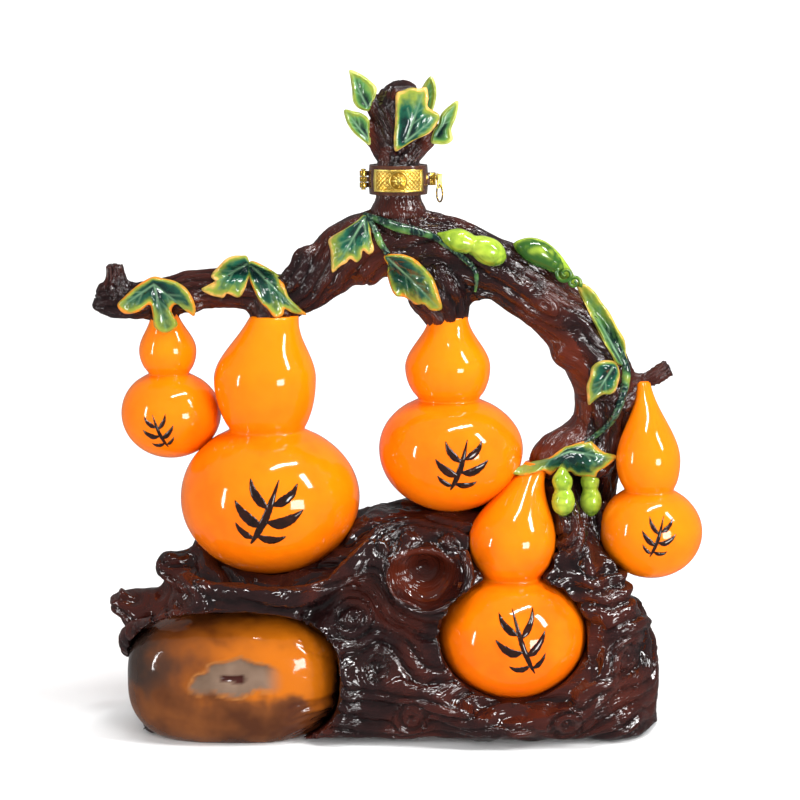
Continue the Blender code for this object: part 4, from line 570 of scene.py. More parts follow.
def brown_lacquer():
    """Brown round the neck. The knuckles and the ring, which lie further out, are left gilt."""
    glaze = Glaze("brown_enamel", 0.18, coat=0.5)
    tree = glaze.tree
    clouds = glaze.group(CLOUDS, Size=150.0, Contrast=0.5)
    aside = math_node(tree, "SUBTRACT", glaze.place()[0], NECK_X * MM)
    off_axis = math_node(tree, "ABSOLUTE", aside)
    gilt = span(tree, off_axis, GILT_FROM * MM, GILT_TO * MM)
    brown = blend(tree, clouds, ink(50, 26, 18), ink(86, 48, 30))
    glaze.colour(blend(tree, gilt, brown, ink(240, 196, 84)))
    tree.links.new(gilt, glaze.shader.inputs["Metallic"])
    glaze.bump(glaze.group(RIPPLE, Size=300.0), 0.0002)
    return glaze.material


def seal_silicone():
    glaze = Glaze("seal_silicone", 0.45)
    clouds = glaze.group(CLOUDS, Size=200.0, Contrast=0.4)
    glaze.colour(blend(glaze.tree, clouds, ink(216, 212, 200), ink(232, 228, 218)))
    glaze.bump(glaze.group(RIPPLE, Size=500.0), 0.0001)
    return glaze.material


GOLD, LACQUER, SILICONE = gold_metal(), brown_lacquer(), seal_silicone()
print("materials:", len(bpy.data.materials))

# %% [markdown]
# ## Gourds
# The five gourds are one form in five sizes: a round bulb, a waist, a smaller bulb and a tear
# that runs out into a stem. They could be turned by hand five times, but a Geometry Nodes tree
# holds the rule once and takes the sizes as inputs. It starts from a plain cylinder and moves
# each ring to its height and radius. A small class lets the tree's sums be written as sums.

# %% Sums in a node tree
class Field:
    """A number inside a node tree. Adding or multiplying two of them adds a Math node."""

    def __init__(self, tree, socket):
        self.tree, self.socket = tree, socket

    def with_node(self, operation, *others):
        values = [v.socket if isinstance(v, Field) else v for v in (self, *others)]
        return Field(self.tree, math_node(self.tree, operation, *values))

    def __add__(self, other):
        return self.with_node("ADD", other)

    def __sub__(self, other):
        return self.with_node("SUBTRACT", other)

    def __mul__(self, other):
        return self.with_node("MULTIPLY", other)

    def __truediv__(self, other):
        return self.with_node("DIVIDE", other)

    def less_from(self, value):
        return self.with_node("MULTIPLY", -1.0) + value

    def root(self):
        return self.with_node("MAXIMUM", 0.0).with_node("SQRT")

    def between(self, low, high):
        return self.with_node("MAXIMUM", low).with_node("MINIMUM", high)

    def sine(self):
        return self.with_node("SINE")

    def cosine(self):
        return self.with_node("COSINE")


# %% Start and end of a Geometry Nodes tree
def new_tree(name, **inputs):
    """A tree with named inputs, given with their kinds, between a geometry and a material."""
    tree = bpy.data.node_groups.new(name, "GeometryNodeTree")
    for label, kind in {"Geometry": "Geometry", **inputs, "Material": "Material"}.items():
        tree.interface.new_socket(label.replace("_", " "), in_out="INPUT",
                                  socket_type="NodeSocket" + kind)
    tree.interface.new_socket("Geometry", in_out="OUTPUT", socket_type="NodeSocketGeometry")
    return tree, tree.nodes.new("NodeGroupInput").outputs


def finish_tree(tree, geometry, material):
    """Shades the result smooth, makes its instances real and paints it."""
    smooth = wire(tree, "GeometryNodeSetShadeSmooth", Geometry=geometry)
    real = wire(tree, "GeometryNodeRealizeInstances", Geometry=smooth.outputs[0])
    coat = wire(tree, "GeometryNodeSetMaterial", Geometry=real.outputs[0], Material=material)
    tree.links.new(coat.outputs[0], tree.nodes.new("NodeGroupOutput").inputs[0])
    return tree


def grown(obj, tree, inputs):
    """Runs a tree on an object, with its inputs set by name, and keeps the mesh it makes."""
    modifier = obj.modifiers.new(tree.name, "NODES")
    modifier.node_group = tree
    for item in tree.interface.items_tree:
        if item.in_out == "INPUT" and item.name in inputs:
            modifier[item.identifier] = inputs[item.name]
    return shaped(obj)


# %% The gourd tree
GOURD_INPUTS = (
    "Bulb Radius", "Waist Radius", "Top Radius", "Neck Radius",
    "Seat", "Bulb Height", "Waist Height", "Top Height", "Neck Height",
    "Tear", "Bulb X", "Top X", "Neck X", "Depth", "Neck Depth", "Lean",
)


def gourd_profile(size, t):
    """Height, radius and the share of each stretch, for t from 0 at the seat to 4 at the stem."""
    parts = [(t - k).between(0.0, 1.0) * (pi / 2) for k in range(4)]
    swing = [part.sine() for part in parts[:3]] + [parts[3] * (2 / pi)]
    height = size["Bulb Height"] - (size["Bulb Height"] - size["Seat"]) * parts[0].cosine()
    height = height + (size["Waist Height"] - size["Bulb Height"]) * swing[1]
    height = height + (size["Top Height"] - size["Waist Height"]) * swing[2]
    height = height + (size["Neck Height"] - size["Top Height"]) * swing[3]
    waist_below = size["Waist Radius"] / size["Bulb Radius"]
    waist_above = size["Waist Radius"] / size["Top Radius"]
    lower = (swing[1] * swing[1] * (waist_below * waist_below).less_from(1.0)).less_from(1.0).root()
    rise = swing[2].less_from(1.0)
    upper = (rise * rise * (waist_above * waist_above).less_from(1.0)).less_from(1.0).root()
    tear = size["Tear"]
    dome = (swing[3] * swing[3]).less_from(1.0).root() * tear.less_from(1.0)
    dome = dome + (swing[3] * pi).cosine().with_node("ADD", 1.0) * tear * 0.5
    radius = size["Bulb Radius"] * (swing[0] + lower - 1.0)
    radius = radius + size["Top Radius"] * upper - size["Waist Radius"]
    radius = radius + (size["Top Radius"] - size["Neck Radius"]) * dome
    radius = radius - (size["Top Radius"] - size["Neck Radius"])
    return height, radius, parts, swing


def gourd_tree(sides, rings):
    tree, given = new_tree("Gourd", **{label: "Float" for label in GOURD_INPUTS})
    size = {label: Field(tree, given[label]) for label in GOURD_INPUTS}

    rod = wire(tree, "GeometryNodeMeshCylinder", Vertices=sides, Radius=1.0, Depth=4.0,
               Side_Segments=rings)
    position = tree.nodes.new("GeometryNodeInputPosition").outputs[0]
    split = wire(tree, "ShaderNodeSeparateXYZ", Vector=position)
    across, deep, up = [Field(tree, split.outputs[axis]) for axis in "XYZ"]
    height, radius, parts, swing = gourd_profile(size, up + 2.0)

    run = (height - size["Bulb Height"]) / (size["Top Height"] - size["Bulb Height"])
    run = run.between(0.0, 1.0)
    eased = run * run * ((run * 2.0).less_from(3.0))
    tip = swing[3] * swing[3]
    middle_x = size["Bulb X"] + (size["Top X"] - size["Bulb X"]) * eased
    middle_x = middle_x + (size["Neck X"] - size["Top X"]) * tip
    leaning = size["Depth"] + size["Lean"] * (height - size["Bulb Height"])
    neck_y = size["Depth"] + size["Lean"] * (size["Neck Height"] - size["Bulb Height"])
    middle_y = leaning + (size["Neck Depth"] - neck_y) * tip

    place = wire(tree, "ShaderNodeCombineXYZ", X=(middle_x + radius * across).socket,
                 Y=(middle_y + radius * deep).socket, Z=height.socket)
    moved = wire(tree, "GeometryNodeSetPosition", Geometry=rod.outputs["Mesh"],
                 Position=place.outputs[0])

    off_waist = (height - size["Waist Height"]) / (size["Bulb Radius"] * 0.30)
    waist = (off_waist * off_waist * -1.0).with_node("EXPONENT") * 0.75
    seat = parts[0].cosine()
    seat = seat * seat * seat * 0.8
    # Painted shade: the terms made from across redden and darken each bulb's left and right sides;
    # waist, seat and stem are the sprayed coat.
    aside = across * across
    spray_and_side_shade = (waist + seat + swing[3] * swing[3] * 1.05 + aside * aside * 0.95).between(0.0, 1.0)
    stored = wire(tree, "GeometryNodeStoreNamedAttribute",
                  {"data_type": "FLOAT", "domain": "POINT"},
                  Geometry=moved.outputs[0], Name="spray_and_side_shade", Value=spray_and_side_shade.socket)
    merged = wire(tree, "GeometryNodeMergeByDistance", Geometry=stored.outputs[0],
                  Distance=0.02 * MM)
    return finish_tree(tree, merged.outputs[0], given["Material"])


GOURD_TREE = gourd_tree(112, 150)
print("gourd tree:", len(GOURD_TREE.nodes), "nodes")


# %% [markdown]
# The sizes of each gourd come from the CAD: radii of bulb, waist, top and stem; the heights of
# seat, bulb, waist, top and stem; the sideways place of bulb, top and stem; depth at the bulb
# and the stem; and how full the tear is.

# %% Five gourds from one tree
GOURDS = {
    # radii, heights, x places, depths, tear, lean
    "gourd_big": ((46.6, 19.0, 26.4, 12.2), (80.68, 120.60, 156.37, 182.94, 216.0),
                  (-63.95, -66.25, -60.89), (-5.0, -5.0), 0.85, 0.0),
    "gourd_middle": ((37.5, 15.4, 22.1, 10.0), (113.05, 145.79, 171.94, 188.60, 215.0),
                     (30.14, 28.30, 28.61), (-2.0, -2.0), 0.95, 0.0),
    "gourd_front": ((38.6, 14.7, 22.6, 6.5), (19.99, 52.62, 82.06, 101.26, 140.0),
                    (61.51, 61.51, 74.97), (-24.0, -9.0), 0.95, 4.0),
    "gourd_left": ((26.0, 10.2, 14.9, 7.0), (139.83, 163.37, 184.16, 196.30, 216.5),
                   (-115.97, -117.35, -118.42), (6.0, 0.0), 0.9, 0.0),
    "gourd_right": ((26.6, 12.5, 16.6, 3.4), (79.73, 103.99, 125.74, 140.95, 181.0),
                    (133.88, 131.89, 130.05), (-12.0, 0.8), 0.95, 0.0),
}


def gourd_sizes(plan):
    radii, heights, xs, depths, tear, lean = plan
    values = [v * MM for v in (*radii, *heights)] + [tear] + [v * MM for v in (*xs, *depths)]
    return dict(zip(GOURD_INPUTS, values + [tan(radians(lean))]))


def soften_waist(obj, waist, reach):
    """Rounds the crease between the two bulbs, as glaze does when it pools there."""
    work = bmesh.new()
    work.from_mesh(obj.data)
    near = [v for v in work.verts if abs(v.co.z - waist) < reach]
    for _ in range(24):
        bmesh.ops.smooth_vert(work, verts=near, factor=0.5,
                              use_axis_x=True, use_axis_y=True, use_axis_z=True)
    work.to_mesh(obj.data)
    work.free()


def make_gourd(name, plan):
    obj = new_object(name + "_glazed", [(0, 0, 0), (MM, 0, 0), (0, MM, 0)], [(0, 1, 2)])
    grown(obj, GOURD_TREE, {**gourd_sizes(plan), "Material": ORANGE})
    soften_waist(obj, plan[1][2] * MM, 3.2 * MM)
    return obj


gourd_skins = {}
for gourd_name, plan in GOURDS.items():
    gourd_object = make_gourd(gourd_name, plan)
    low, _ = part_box(gourd_name)
    made_low = Vector(np.min([v.co for v in gourd_object.data.vertices], axis=0))
    print(gourd_name, "CAD lowest", [round(v / MM, 1) for v in low],
          "made", [round(v / MM, 1) for v in made_low])
    gourd_skins[gourd_name] = gourd_object
    keep(gourd_object, "bottle", "orange_glaze", gourd_name)

# %% [markdown]
# ## How the wood is carved
# The base and the vine are carved as old wood: rounded ridges that flow side by side, part
# round knots and curl into eddies. Sculpting such lines by hand would take days, so each point
# gets a coordinate across the fibres, which changes fast, and one along them, which changes
# slowly. A sine of the first one, folded at zero, gives rounded ropes between sharp grooves, and
# smooth noise makes the ropes wander. Where the lines are to break up more, as on the stump and
# the boulder, noise that is stretched along the flow is folded in the same way.

# %% Noise over many points at once
def waves(points, seed):
    """Smooth noise at each row of points, about -1 to 1."""
    return np.array([noise.noise((x + seed, y - seed, z + 2 * seed))
                     for x, y, z in points.tolist()])


def ridges(across, along, other, width, stretch, seed):
    """1 on the ridges and 0 in the grooves of fibres about so wide, in millimetres."""
    rows = np.column_stack([across / width, along / (width * stretch), other / (width * stretch)])
    return np.clip(np.abs(waves(rows, seed)) * 2.0, 0, 1) ** 0.55


def ropes(turns, wander):
    """1 along the middle of ropes that lie side by side, 0 in the grooves between them."""
    return np.abs(np.sin(pi * (turns + wander))) ** 0.7


def eased(values, low, high):
    t = np.clip((values - low) / (high - low), 0, 1)
    return t * t * (3 - 2 * t)


def mesh_arrays(obj):
    """Points and outward directions of a mesh, as rows in millimetres."""
    count = len(obj.data.vertices)
    points, normals = np.empty(count * 3), np.empty(count * 3)
    obj.data.vertices.foreach_get("co", points)
    obj.data.vertices.foreach_get("normal", normals)
    return points.reshape(-1, 3) / MM, normals.reshape(-1, 3)


def set_points(obj, points):
    obj.data.vertices.foreach_set("co", (points * MM).ravel())
    obj.data.update()


def store(obj, name, values):
    """Keeps one number, or three, at each point of a mesh for its material."""
    kind, field = ("FLOAT", "value") if values.ndim == 1 else ("FLOAT_VECTOR", "vector")
    item = obj.data.attributes.new(name, kind, "POINT")
    item.data.foreach_set(field, values.astype(np.float32).ravel())


# %% [markdown]
# ## Root-wood base
# The base starts as a few overlapping closed forms: one lofted body whose sections are the CAD's
# stations, a swell for the vine's foot, four broken root ends, and thick roots that run over the
# front. A voxel remesh melts them into one skin. The bulbs and the boulder are then cut out of
# it, and a second, finer remesh rounds the lips of those nests before the carving.

# %% Sections of the base
# x, top, front and back, in millimetres
BASE_STATIONS = [
    (-134.0, 33, 17, 16), (-131.1, 48, 30, 28), (-124.1, 63, 40, 37), (-112.8, 79, 46, 44),
    (-101.5, 93, 51, 49), (-80.4, 98, 52, 51), (-59.2, 101, 53, 52), (-39.5, 107, 54, 53),
    (-12.0, 118, 54, 54), (14.1, 119, 54, 54), (42.3, 119, 54, 54), (70.5, 118, 54, 54),
    (91.6, 112, 53, 52), (104.3, 95, 51, 51), (112.8, 73, 50, 49), (121.3, 64, 47, 45),
    (129.7, 62, 42, 40), (137.5, 51, 31, 29), (141.0, 33, 16, 15),
]
BASE_PEAK = 9.7                          # y of the base's crest
BASE_FULLNESS = 2.4                      # 2 would be an ellipse, more is squarer
BASE_SIDES = 64                          # points along each section's arc
BASE_FRONT, BASE_BACK = -60.0, 54.0      # y beyond which nothing of the base may stand
# centre and half sizes of the swell that carries the vine's foot
SWELL = ((84.6, 5.4, 102.3), (23.3, 24.8, 42.2))
# broken root ends: x, y, z, radius from root to tip
HORNS = (
    in_mm((-100, 3, 70, 17), (-114, 1, 82, 12), (-125, -1, 89, 8)),
    in_mm((-116, 3, 50, 18), (-136, 2, 61, 12.5), (-149, 0, 68, 8.5)),
    in_mm((-84, 5, 74, 17), (-97, 4, 90, 11), (-105, 3, 98, 7.5)),
    in_mm((114, 1, 44, 18), (124, 0, 56, 14), (131, -2, 61, 10.5)),
)


def base_section(x, top, front, back):
    """One cross-section: a flat foot, rounded edges and a full arc over the crest."""
    foot = min(6.0, front / 3, top / 3)
    points = []
    for a in np.linspace(0, pi, BASE_SIDES):
        side, up = abs(cos(a)) ** (2 / BASE_FULLNESS), abs(sin(a)) ** (2 / BASE_FULLNESS)
        reach = -(front + BASE_PEAK) if a < pi / 2 else back - BASE_PEAK
        points.append(Vector((x, BASE_PEAK + reach * side, foot + (top - foot) * up)) * MM)
    points += [Vector((x, back - foot, 0)) * MM, Vector((x, -front + foot, 0)) * MM]
    return points


def ball(name, centre, halves, fullness=2.0, sides=48, rings=28):
    """An ellipsoid, or a fuller form where fullness is over 2."""
    def power(value):
        return (abs(value) ** (2 / fullness)) * (1 if value >= 0 else -1)
    rows = []
    for i in range(1, rings):
        a = pi * i / rings
        rows.append([
            (Vector(centre) + Vector((
                halves[0] * power(sin(a)) * power(cos(2 * pi * k / sides)),
                halves[1] * power(sin(a)) * power(sin(2 * pi * k / sides)),
                -halves[2] * power(cos(a)),
            ))) * MM for k in range(sides)
        ])
    return new_object(name, *loft(rows))


def base_body():
    rows = np.array(BASE_STATIONS, dtype=float)
    steps = [np.linspace(a, b, 4, endpoint=False) for a, b in zip(rows[:-1, 0], rows[1:, 0])]
    sections = [base_section(x, *[np.interp(x, rows[:, 0], rows[:, k]) for k in (1, 2, 3)])
                for x in np.concatenate([*steps, rows[-1:, 0]])]
    return new_object("base_body", *loft(sections))


# %% Thick roots over the front, and the nests' lips
# x, y, z, radius
FRONT_ROOTS = (
    in_mm((-138, -6, 40, 8), (-132, -28, 52, 9), (-118, -43, 60, 8), (-100, -47, 66, 8),
          (-80, -49, 68.5, 8), (-58, -50, 64, 8), (-40, -50, 54, 8), (-27, -50, 40, 8),
          (-24, -49, 22, 9), (-32, -47, 6, 9)),
    in_mm((-24, -46, 34, 7), (4, -50, 30, 9), (26, -53, 20, 8), (48, -56, 12, 7), (70, -56, 12, 7),
          (92, -53, 20, 9), (108, -48, 36, 9), (114, -40, 54, 8)),
    in_mm((-110, -30, 84, 8), (-92, -42, 80, 9), (-66, -50, 77, 8), (-40, -50, 80, 8),
          (-20, -46, 92, 8), (-6, -38, 104, 8)),
    in_mm((-6, -38, 104, 7), (-4, -46, 92, 6), (2, -50, 78, 6), (16, -52, 70, 6), (32, -50, 74, 6),
          (38, -46, 88, 6), (34, -42, 102, 6)),
    in_mm((84, -10, 130, 10), (90, -20, 112, 9), (98, -30, 92, 9), (104, -38, 74, 9),
          (112, -42, 58, 9)),
    in_mm((106, -4, 120, 9), (112, -16, 100, 9), (114, -28, 84, 9), (118, -36, 66, 8)),
    in_mm((104, -40, 58, 10), (118, -38, 60, 11), (130, -28, 56, 9)),
)
# centres and half sizes of the knot hole and the boulder
KNOT_HOLE = ((15.0, -43.0, 87.0), (19.5, 19.0, 13.0))
BOULDER = ((-82.48, -19.98, 29.75), (56.0, 36.0, 36.0))
GOURD_TUCK, BOULDER_TUCK = 0.9, 0.6      # mm by which each nest closes over what sits in it
NEST_REACH = 90 * MM                     # how far a nest's form is pulled out to the front


def pulled_forward(obj, middle):
    """Stretches a form's front half out of the wood, so that cutting it leaves an open nest."""
    for vert in obj.data.vertices:
        if vert.co.y < middle * MM:
            vert.co.y -= NEST_REACH
            vert.co.z += NEST_REACH * tan(CAMERA_ELEVATION)
    return obj


def gourd_nest(name):
    obj = in_scene(name + "_nest", gourd_skins[name].data.copy())
    points, normals = mesh_arrays(obj)
    set_points(obj, points - normals * GOURD_TUCK)
    depth_at_bulb = GOURDS[name][3][0]
    return pulled_forward(obj, depth_at_bulb - 1.0)


def boulder_nest():
    centre, halves = BOULDER
    form = ball("boulder_nest", centre, [half - BOULDER_TUCK for half in halves], 2.8)
    return pulled_forward(form, -20.0)   # about through its middle


def carved_out(obj, *cutters):
    for cutter in cutters:
        settings = {"operation": "DIFFERENCE", "solver": "MANIFOLD", "object": cutter}
        shaped(obj, ("BOOLEAN", settings))
    dropped(*cutters)
    return obj


# %% Base, before its carving
def base_blank():
    forms = [base_body(), ball("swell", *SWELL)]
    forms += [tube("horn", smooth_path(path, 4), 20) for path in HORNS]
    forms += [tube("root", smooth_path(path, 4), 16) for path in FRONT_ROOTS]
    wood = joined("root_wood", *forms)
    melted(wood, 2.2, 6)
    points, normals = mesh_arrays(wood)
    lumps = waves(points / 34.0, 3.0) * 3.4 + waves(points / 15.0, 5.0) * 1.3
    set_points(wood, points + normals * (lumps - 1.6)[:, None])
    nests = [gourd_nest("gourd_" + place) for place in ("big", "middle", "front", "right")]
    carved_out(wood, *nests, boulder_nest(), ball("knot", *KNOT_HOLE))
    return melted(wood, 1.4, 5)


root_wood = base_blank()
print("base blank:", len(root_wood.data.vertices), "points")

# %% [markdown]
# The flow of the base's fibres: along the front they run sideways, so the coordinate across
# them is the height. Slow waves bend them. Round a knot they part as water does round a post,
# and inside it they turn into rings. Under the vine they turn upright and run up the trunk.

# %% Flow of the base's fibres
# knots in the front: x, z, radius
BASE_KNOTS = ((16.0, 88.0, 21.0), (-20.0, 66.0, 10.0), (9.0, 15.0, 9.0), (88.0, 12.0, 9.0),
              (-8.0, 42.0, 6.0), (-112.0, 74.0, 6.0), (118.0, 44.0, 7.0))
# how far apart the thick and the thin ropes of the base lie, and how deep their grooves go, in mm
BASE_SPACING = (8.6, 3.3)
BASE_DEPTHS = (3.4, 0.9)


def base_flow(points):
    x, y, z = points.T
    across = z + 0.6 * np.abs(y - BASE_PEAK)
    across = across + 10.0 * waves(points / 52.0, 11.0) + 4.0 * waves(points / 21.0, 12.0)
    front = eased(-y, 12, 30)
    for knot_x, knot_z, radius in BASE_KNOTS:
        away = np.hypot(x - knot_x, z - knot_z)
        outside = -(z - knot_z) * np.minimum(radius ** 2 / np.maximum(away, 0.1) ** 2, 1.0)
        rings = knot_z - across + (radius - away) * 1.3
        pull = np.where(away > radius, outside, rings)
        across = across + front * pull
    upright = eased(z, 84, 112) * eased(x, 48, 66)
    return across * (1 - upright) + (x * 1.2 + 0.4 * y) * upright, x + z * upright, y + 0.35 * z


def cut_ropes(obj, points, normals, wide, fine, depths, strength):
    """Cuts the grooves between thick and thin ropes, and stores how high each point stays."""
    sink = (depths[0] * (1 - wide) + depths[1] * (1 - fine) * (0.4 + 0.6 * wide)) * strength
    set_points(obj, points - normals * sink[:, None])
    store(obj, "ridge", np.clip(0.72 * wide + 0.38 * fine, 0, 1))


def carve_base(obj):
    points, normals = mesh_arrays(obj)
    across, along, other = base_flow(points)
    x, y, z = points.T
    (hole_x, _, hole_z), (half_x, _, half_z) = KNOT_HOLE
    hole = np.hypot((x - hole_x) / half_x, (z - hole_z) / half_z)
    inside = (1 - eased(hole, 0.75, 1.05)) * eased(-y, 20, 30)
    calm = np.clip(inside + (1 - eased(z, 0.8, 5.0)), 0, 1)
    wide = ropes(across / BASE_SPACING[0],
                 0.9 * waves(points / 31.0, 1.0) + 0.3 * waves(points / 12.0, 4.0))
    fine = ropes(across / BASE_SPACING[1],
                 1.5 * waves(points / 24.0, 2.0) + 0.5 * waves(points / 8.0, 6.0))
    cut_ropes(obj, points, normals, wide, fine, BASE_DEPTHS, 1 - calm)
    store(obj, "grain", np.column_stack([across / 1.5, along / 16.0, other / 16.0]))
    rust = inside * 0.9 + eased(waves(points / 26.0, 8.0), 0.12, 0.5) * 0.35
    store(obj, "rust", np.clip(rust, 0, 1))
    carved, _ = mesh_arrays(obj)
    carved[:, 2] = np.maximum(carved[:, 2], 0.0)
    carved[:, 1] = np.clip(carved[:, 1], BASE_FRONT, BASE_BACK)
    set_points(obj, carved)


carve_base(root_wood)
keep(painted(root_wood, BARK), "bottle", "dark_glaze", "root_base")

# %% [markdown]
# ## Vine
# One vine climbs from inside the base, arches over and runs out to the left; short broken
# branches and the gourds' stems leave it. It is melted from tubes like the base. Its fibres run
# along it with a slow twist, so each point is given its place along the nearest tube and its
# angle round it. Two eye-shaped whorls bend them, one in the arch and one in the bough, and the
# inside of the arch is smoother and redder.

# %% Routes of the vine and its branches
# x, y, z, radius in millimetres
VINE = in_mm(
    (105.6, 13.9, 61.9, 17.0), (101.0, 13.9, 95.1, 17.0), (102.8, 11.5, 126.4, 16.6),
    (109.9, 7.4, 154.7, 17.0), (110.5, 4.1, 178.5, 17.2), (98.7, 2.8, 200.5, 16.6),
    (84.2, 1.9, 217.9, 15.9), (60.3, 0.0, 235.6, 16.3), (29.4, 0.0, 248.5, 18.1),
    (3.7, 0.0, 252.8, 18.5), (-21.1, 0.0, 249.3, 17.8), (-36.7, 0.0, 235.1, 14.1),
    (-53.2, 0.0, 225.8, 12.0), (-74.1, 0.0, 228.5, 11.8), (-97.0, 0.0, 229.5, 10.9),
    (-120.0, 0.0, 224.5, 10.4), (-142.3, 0.0, 223.5, 10.0), (-154.5, 0.0, 226.0, 7.0),
)
BRANCHES = (
    in_mm((110.9, 4.3, 176.2, 9.0), (124.0, 2.5, 179.0, 6.2), (132.3, 1.5, 181.6, 5.2),
          (139.5, 3.0, 185.0, 5.6), (144.6, 4.2, 187.8, 6.4)),
    in_mm((-142.3, 0.0, 223.5, 8.0), (-142.9, 0.0, 233.0, 6.2), (-143.2, 0.0, 239.0, 5.6),
          (-143.3, 0.0, 242.6, 5.8)),
    in_mm((-60.9, -5.0, 211.5, 13.2), (-62.4, -3.2, 219.0, 13.4), (-64.6, -1.0, 226.0, 12.5)),
    in_mm((28.6, -2.0, 210.5, 11.6), (27.0, -1.5, 219.0, 14.5), (25.0, -1.0, 226.0, 18.5),
          (24.0, 0.0, 236.0, 18.5)),
    in_mm((-118.4, 0.0, 212.0, 8.0), (-118.6, 0.0, 219.0, 7.6), (-119.0, 0.0, 224.0, 9.0)),
    in_mm((75.0, -9.0, 136.0, 8.6), (84.0, -4.0, 142.0, 13.0), (98.0, 4.0, 146.0, 15.0)),
    in_mm((2.75, 0.0, 262.0, 16.5), (2.75, 0.0, 269.5, 14.4), (2.75, 0.0, 273.0, 12.0)),
)
# swellings: x, y, z, radius
BUMPS = (
    (-43.5, -5.0, 244.0, 9.5), (-50.0, -6.0, 234.0, 9.0), (120.0, -2.0, 170.0, 9.0),
    (116.0, 0.0, 158.0, 9.0), (-132.0, -4.0, 221.0, 9.0), (-104.0, -4.0, 224.5, 8.5),
    (45.0, -4.0, 233.0, 11.0), (92.0, -2.0, 198.0, 12.0), (-14.0, -5.0, 243.0, 13.0),
    (-84.0, -3.0, 231.0, 9.5), (104.0, -6.0, 140.0, 12.0), (-30.0, -5.0, 236.0, 10.5),
)


def vine_blank():
    forms = [tube("vine", smooth_path(VINE, 8), 40)]
    forms += [tube("branch", smooth_path(path, 5), 28) for path in BRANCHES]
    forms += [ball("bump", spot[:3], (spot[3],) * 3, 2.0, 20, 12) for spot in BUMPS]
    wood = joined("vine_wood", *forms)
    melted(wood, 1.6, 5)
    points, normals = mesh_arrays(wood)
    lumps = waves(points / 19.0, 21.0) * 1.5 + waves(points / 9.0, 22.0) * 0.6
    set_points(wood, points + normals * (lumps - 0.5)[:, None])
    return melted(wood, 1.0, 3)


# %% Place of each point along and round the vine
def route_table(paths):
    """Samples along tubes: point, tangent, a sideways direction and the length so far, in mm."""
    rows = []
    for path in paths:
        fine = [point / MM for point, _ in smooth_path(path, 12)]
        length, side = 0.0, Vector((0, -1, 0))
        for i, point in enumerate(fine):
            along = (fine[min(i + 1, len(fine) - 1)] - fine[max(i - 1, 0)]).normalized()
            side = (side - along * side.dot(along)).normalized()
            length += (point - fine[i - 1]).length if i else 0.0
            rows.append((point, along, side, length))
    return rows


def along_route(points, rows):
    """Length along the nearest tube and angle round it, for each point."""
    tree = KDTree(len(rows))
    for i, row in enumerate(rows):
        tree.insert(row[0], i)
    tree.balance()
    nearest = [tree.find(p)[1] for p in points.tolist()]
    centre, along, side = [np.array([rows[i][k] for i in nearest]) for k in range(3)]
    length = np.array([rows[i][3] for i in nearest])
    away = points - centre
    axes = (along, np.cross(along, side), side)
    ahead, up, out = [np.einsum("ij,ij->i", away, axis) for axis in axes]
    return length + ahead, np.arctan2(up, out)


# %% Carve the vine
# eyes in the grain: a point by each on the front of the vine, half size along it and across it
EYES = (((79.0, -14.0, 221.0), 13.0, 6.0), ((-96.0, -11.0, 227.0), 8.0, 4.0))
VINE_RADIUS = 16.0                       # about what it is along the arch, mm
VINE_ROPES = (11, 29)                    # thick and thin ropes side by side round the vine
VINE_DEPTHS = (2.4, 0.8)
# inside of the arch, where the carving is calmer: x and z of its middle, and its radius
HOLLOW = (40, 172, 62)


def vine_flow(points):
    """Length along the vine, and the angle round it with the fibres' bends and twist."""
    length, angle = along_route(points, route_table([VINE, *BRANCHES]))
    rows = route_table([VINE])
    for eye, reach, tall in EYES:
        eye_length, eye_angle = [v[0] for v in along_route(np.array([eye]), rows)]
        turn = (angle - eye_angle + pi) % (2 * pi) - pi
        across = turn * VINE_RADIUS
        gone = np.hypot((length - eye_length) / reach, across / tall)
        parted = -across / np.maximum(gone, 0.1) ** 2
        ringed = -across + (1 - gone) * tall * 1.4
        push = np.where(gone > 1, parted, ringed)
        angle = angle + push / VINE_RADIUS * eased(gone, 6.0, 1.0)
    return length, angle + length * 0.014 + 0.35 * np.sin(length / 23.0)


def carve_vine(obj):
    points, normals = mesh_arrays(obj)
    x, _, z = points.T
    length, twisted = vine_flow(points)
    warp = waves(points / 14.0, 31.0) * 2.2
    u, v = np.cos(twisted) * VINE_RADIUS + warp, np.sin(twisted) * VINE_RADIUS + warp
    wide = ropes(twisted * VINE_ROPES[0] / (2 * pi),
                 0.8 * waves(points / 26.0, 1.0) + 0.25 * waves(points / 10.0, 4.0))
    fine = ropes(twisted * VINE_ROPES[1] / (2 * pi),
                 1.3 * waves(points / 20.0, 2.0) + 0.5 * waves(points / 7.0, 6.0))
    inner = eased(226.0 - z - 0.10 * np.abs(x), 4, 16) * (x > 20)
    inner = inner * (np.hypot(x - HOLLOW[0], z - HOLLOW[1]) < HOLLOW[2])
    cut_ropes(obj, points, normals, wide, fine, VINE_DEPTHS, 1 - 0.6 * inner)
    store(obj, "grain", np.column_stack([u / 1.2, v / 1.2, length / 14.0]))
    rust = inner * 0.8 + eased(waves(points / 24.0, 9.0), 0.15, 0.5) * 0.45
    store(obj, "rust", np.clip(rust, 0, 1))


vine_wood = vine_blank()
carve_vine(vine_wood)
keep(painted(vine_wood, BARK), "bottle", "dark_glaze", "trunk", "arch", "left_bough", "right_stub",
     "left_stub", "big_stem", "middle_stem")

# %% [markdown]
# ## Boulder
# The boulder in the base's left nest is smooth under its thick amber glaze. It is one full
# ellipsoid with soft lumps. A grey-brown window opens in its face, like a cut through agate:
# its outline is drawn as a few corners, and each point's distance from that line sinks the
# window, raises a thin lip round it and tells the glaze where to change. Low curls of root run
# over its lower right.

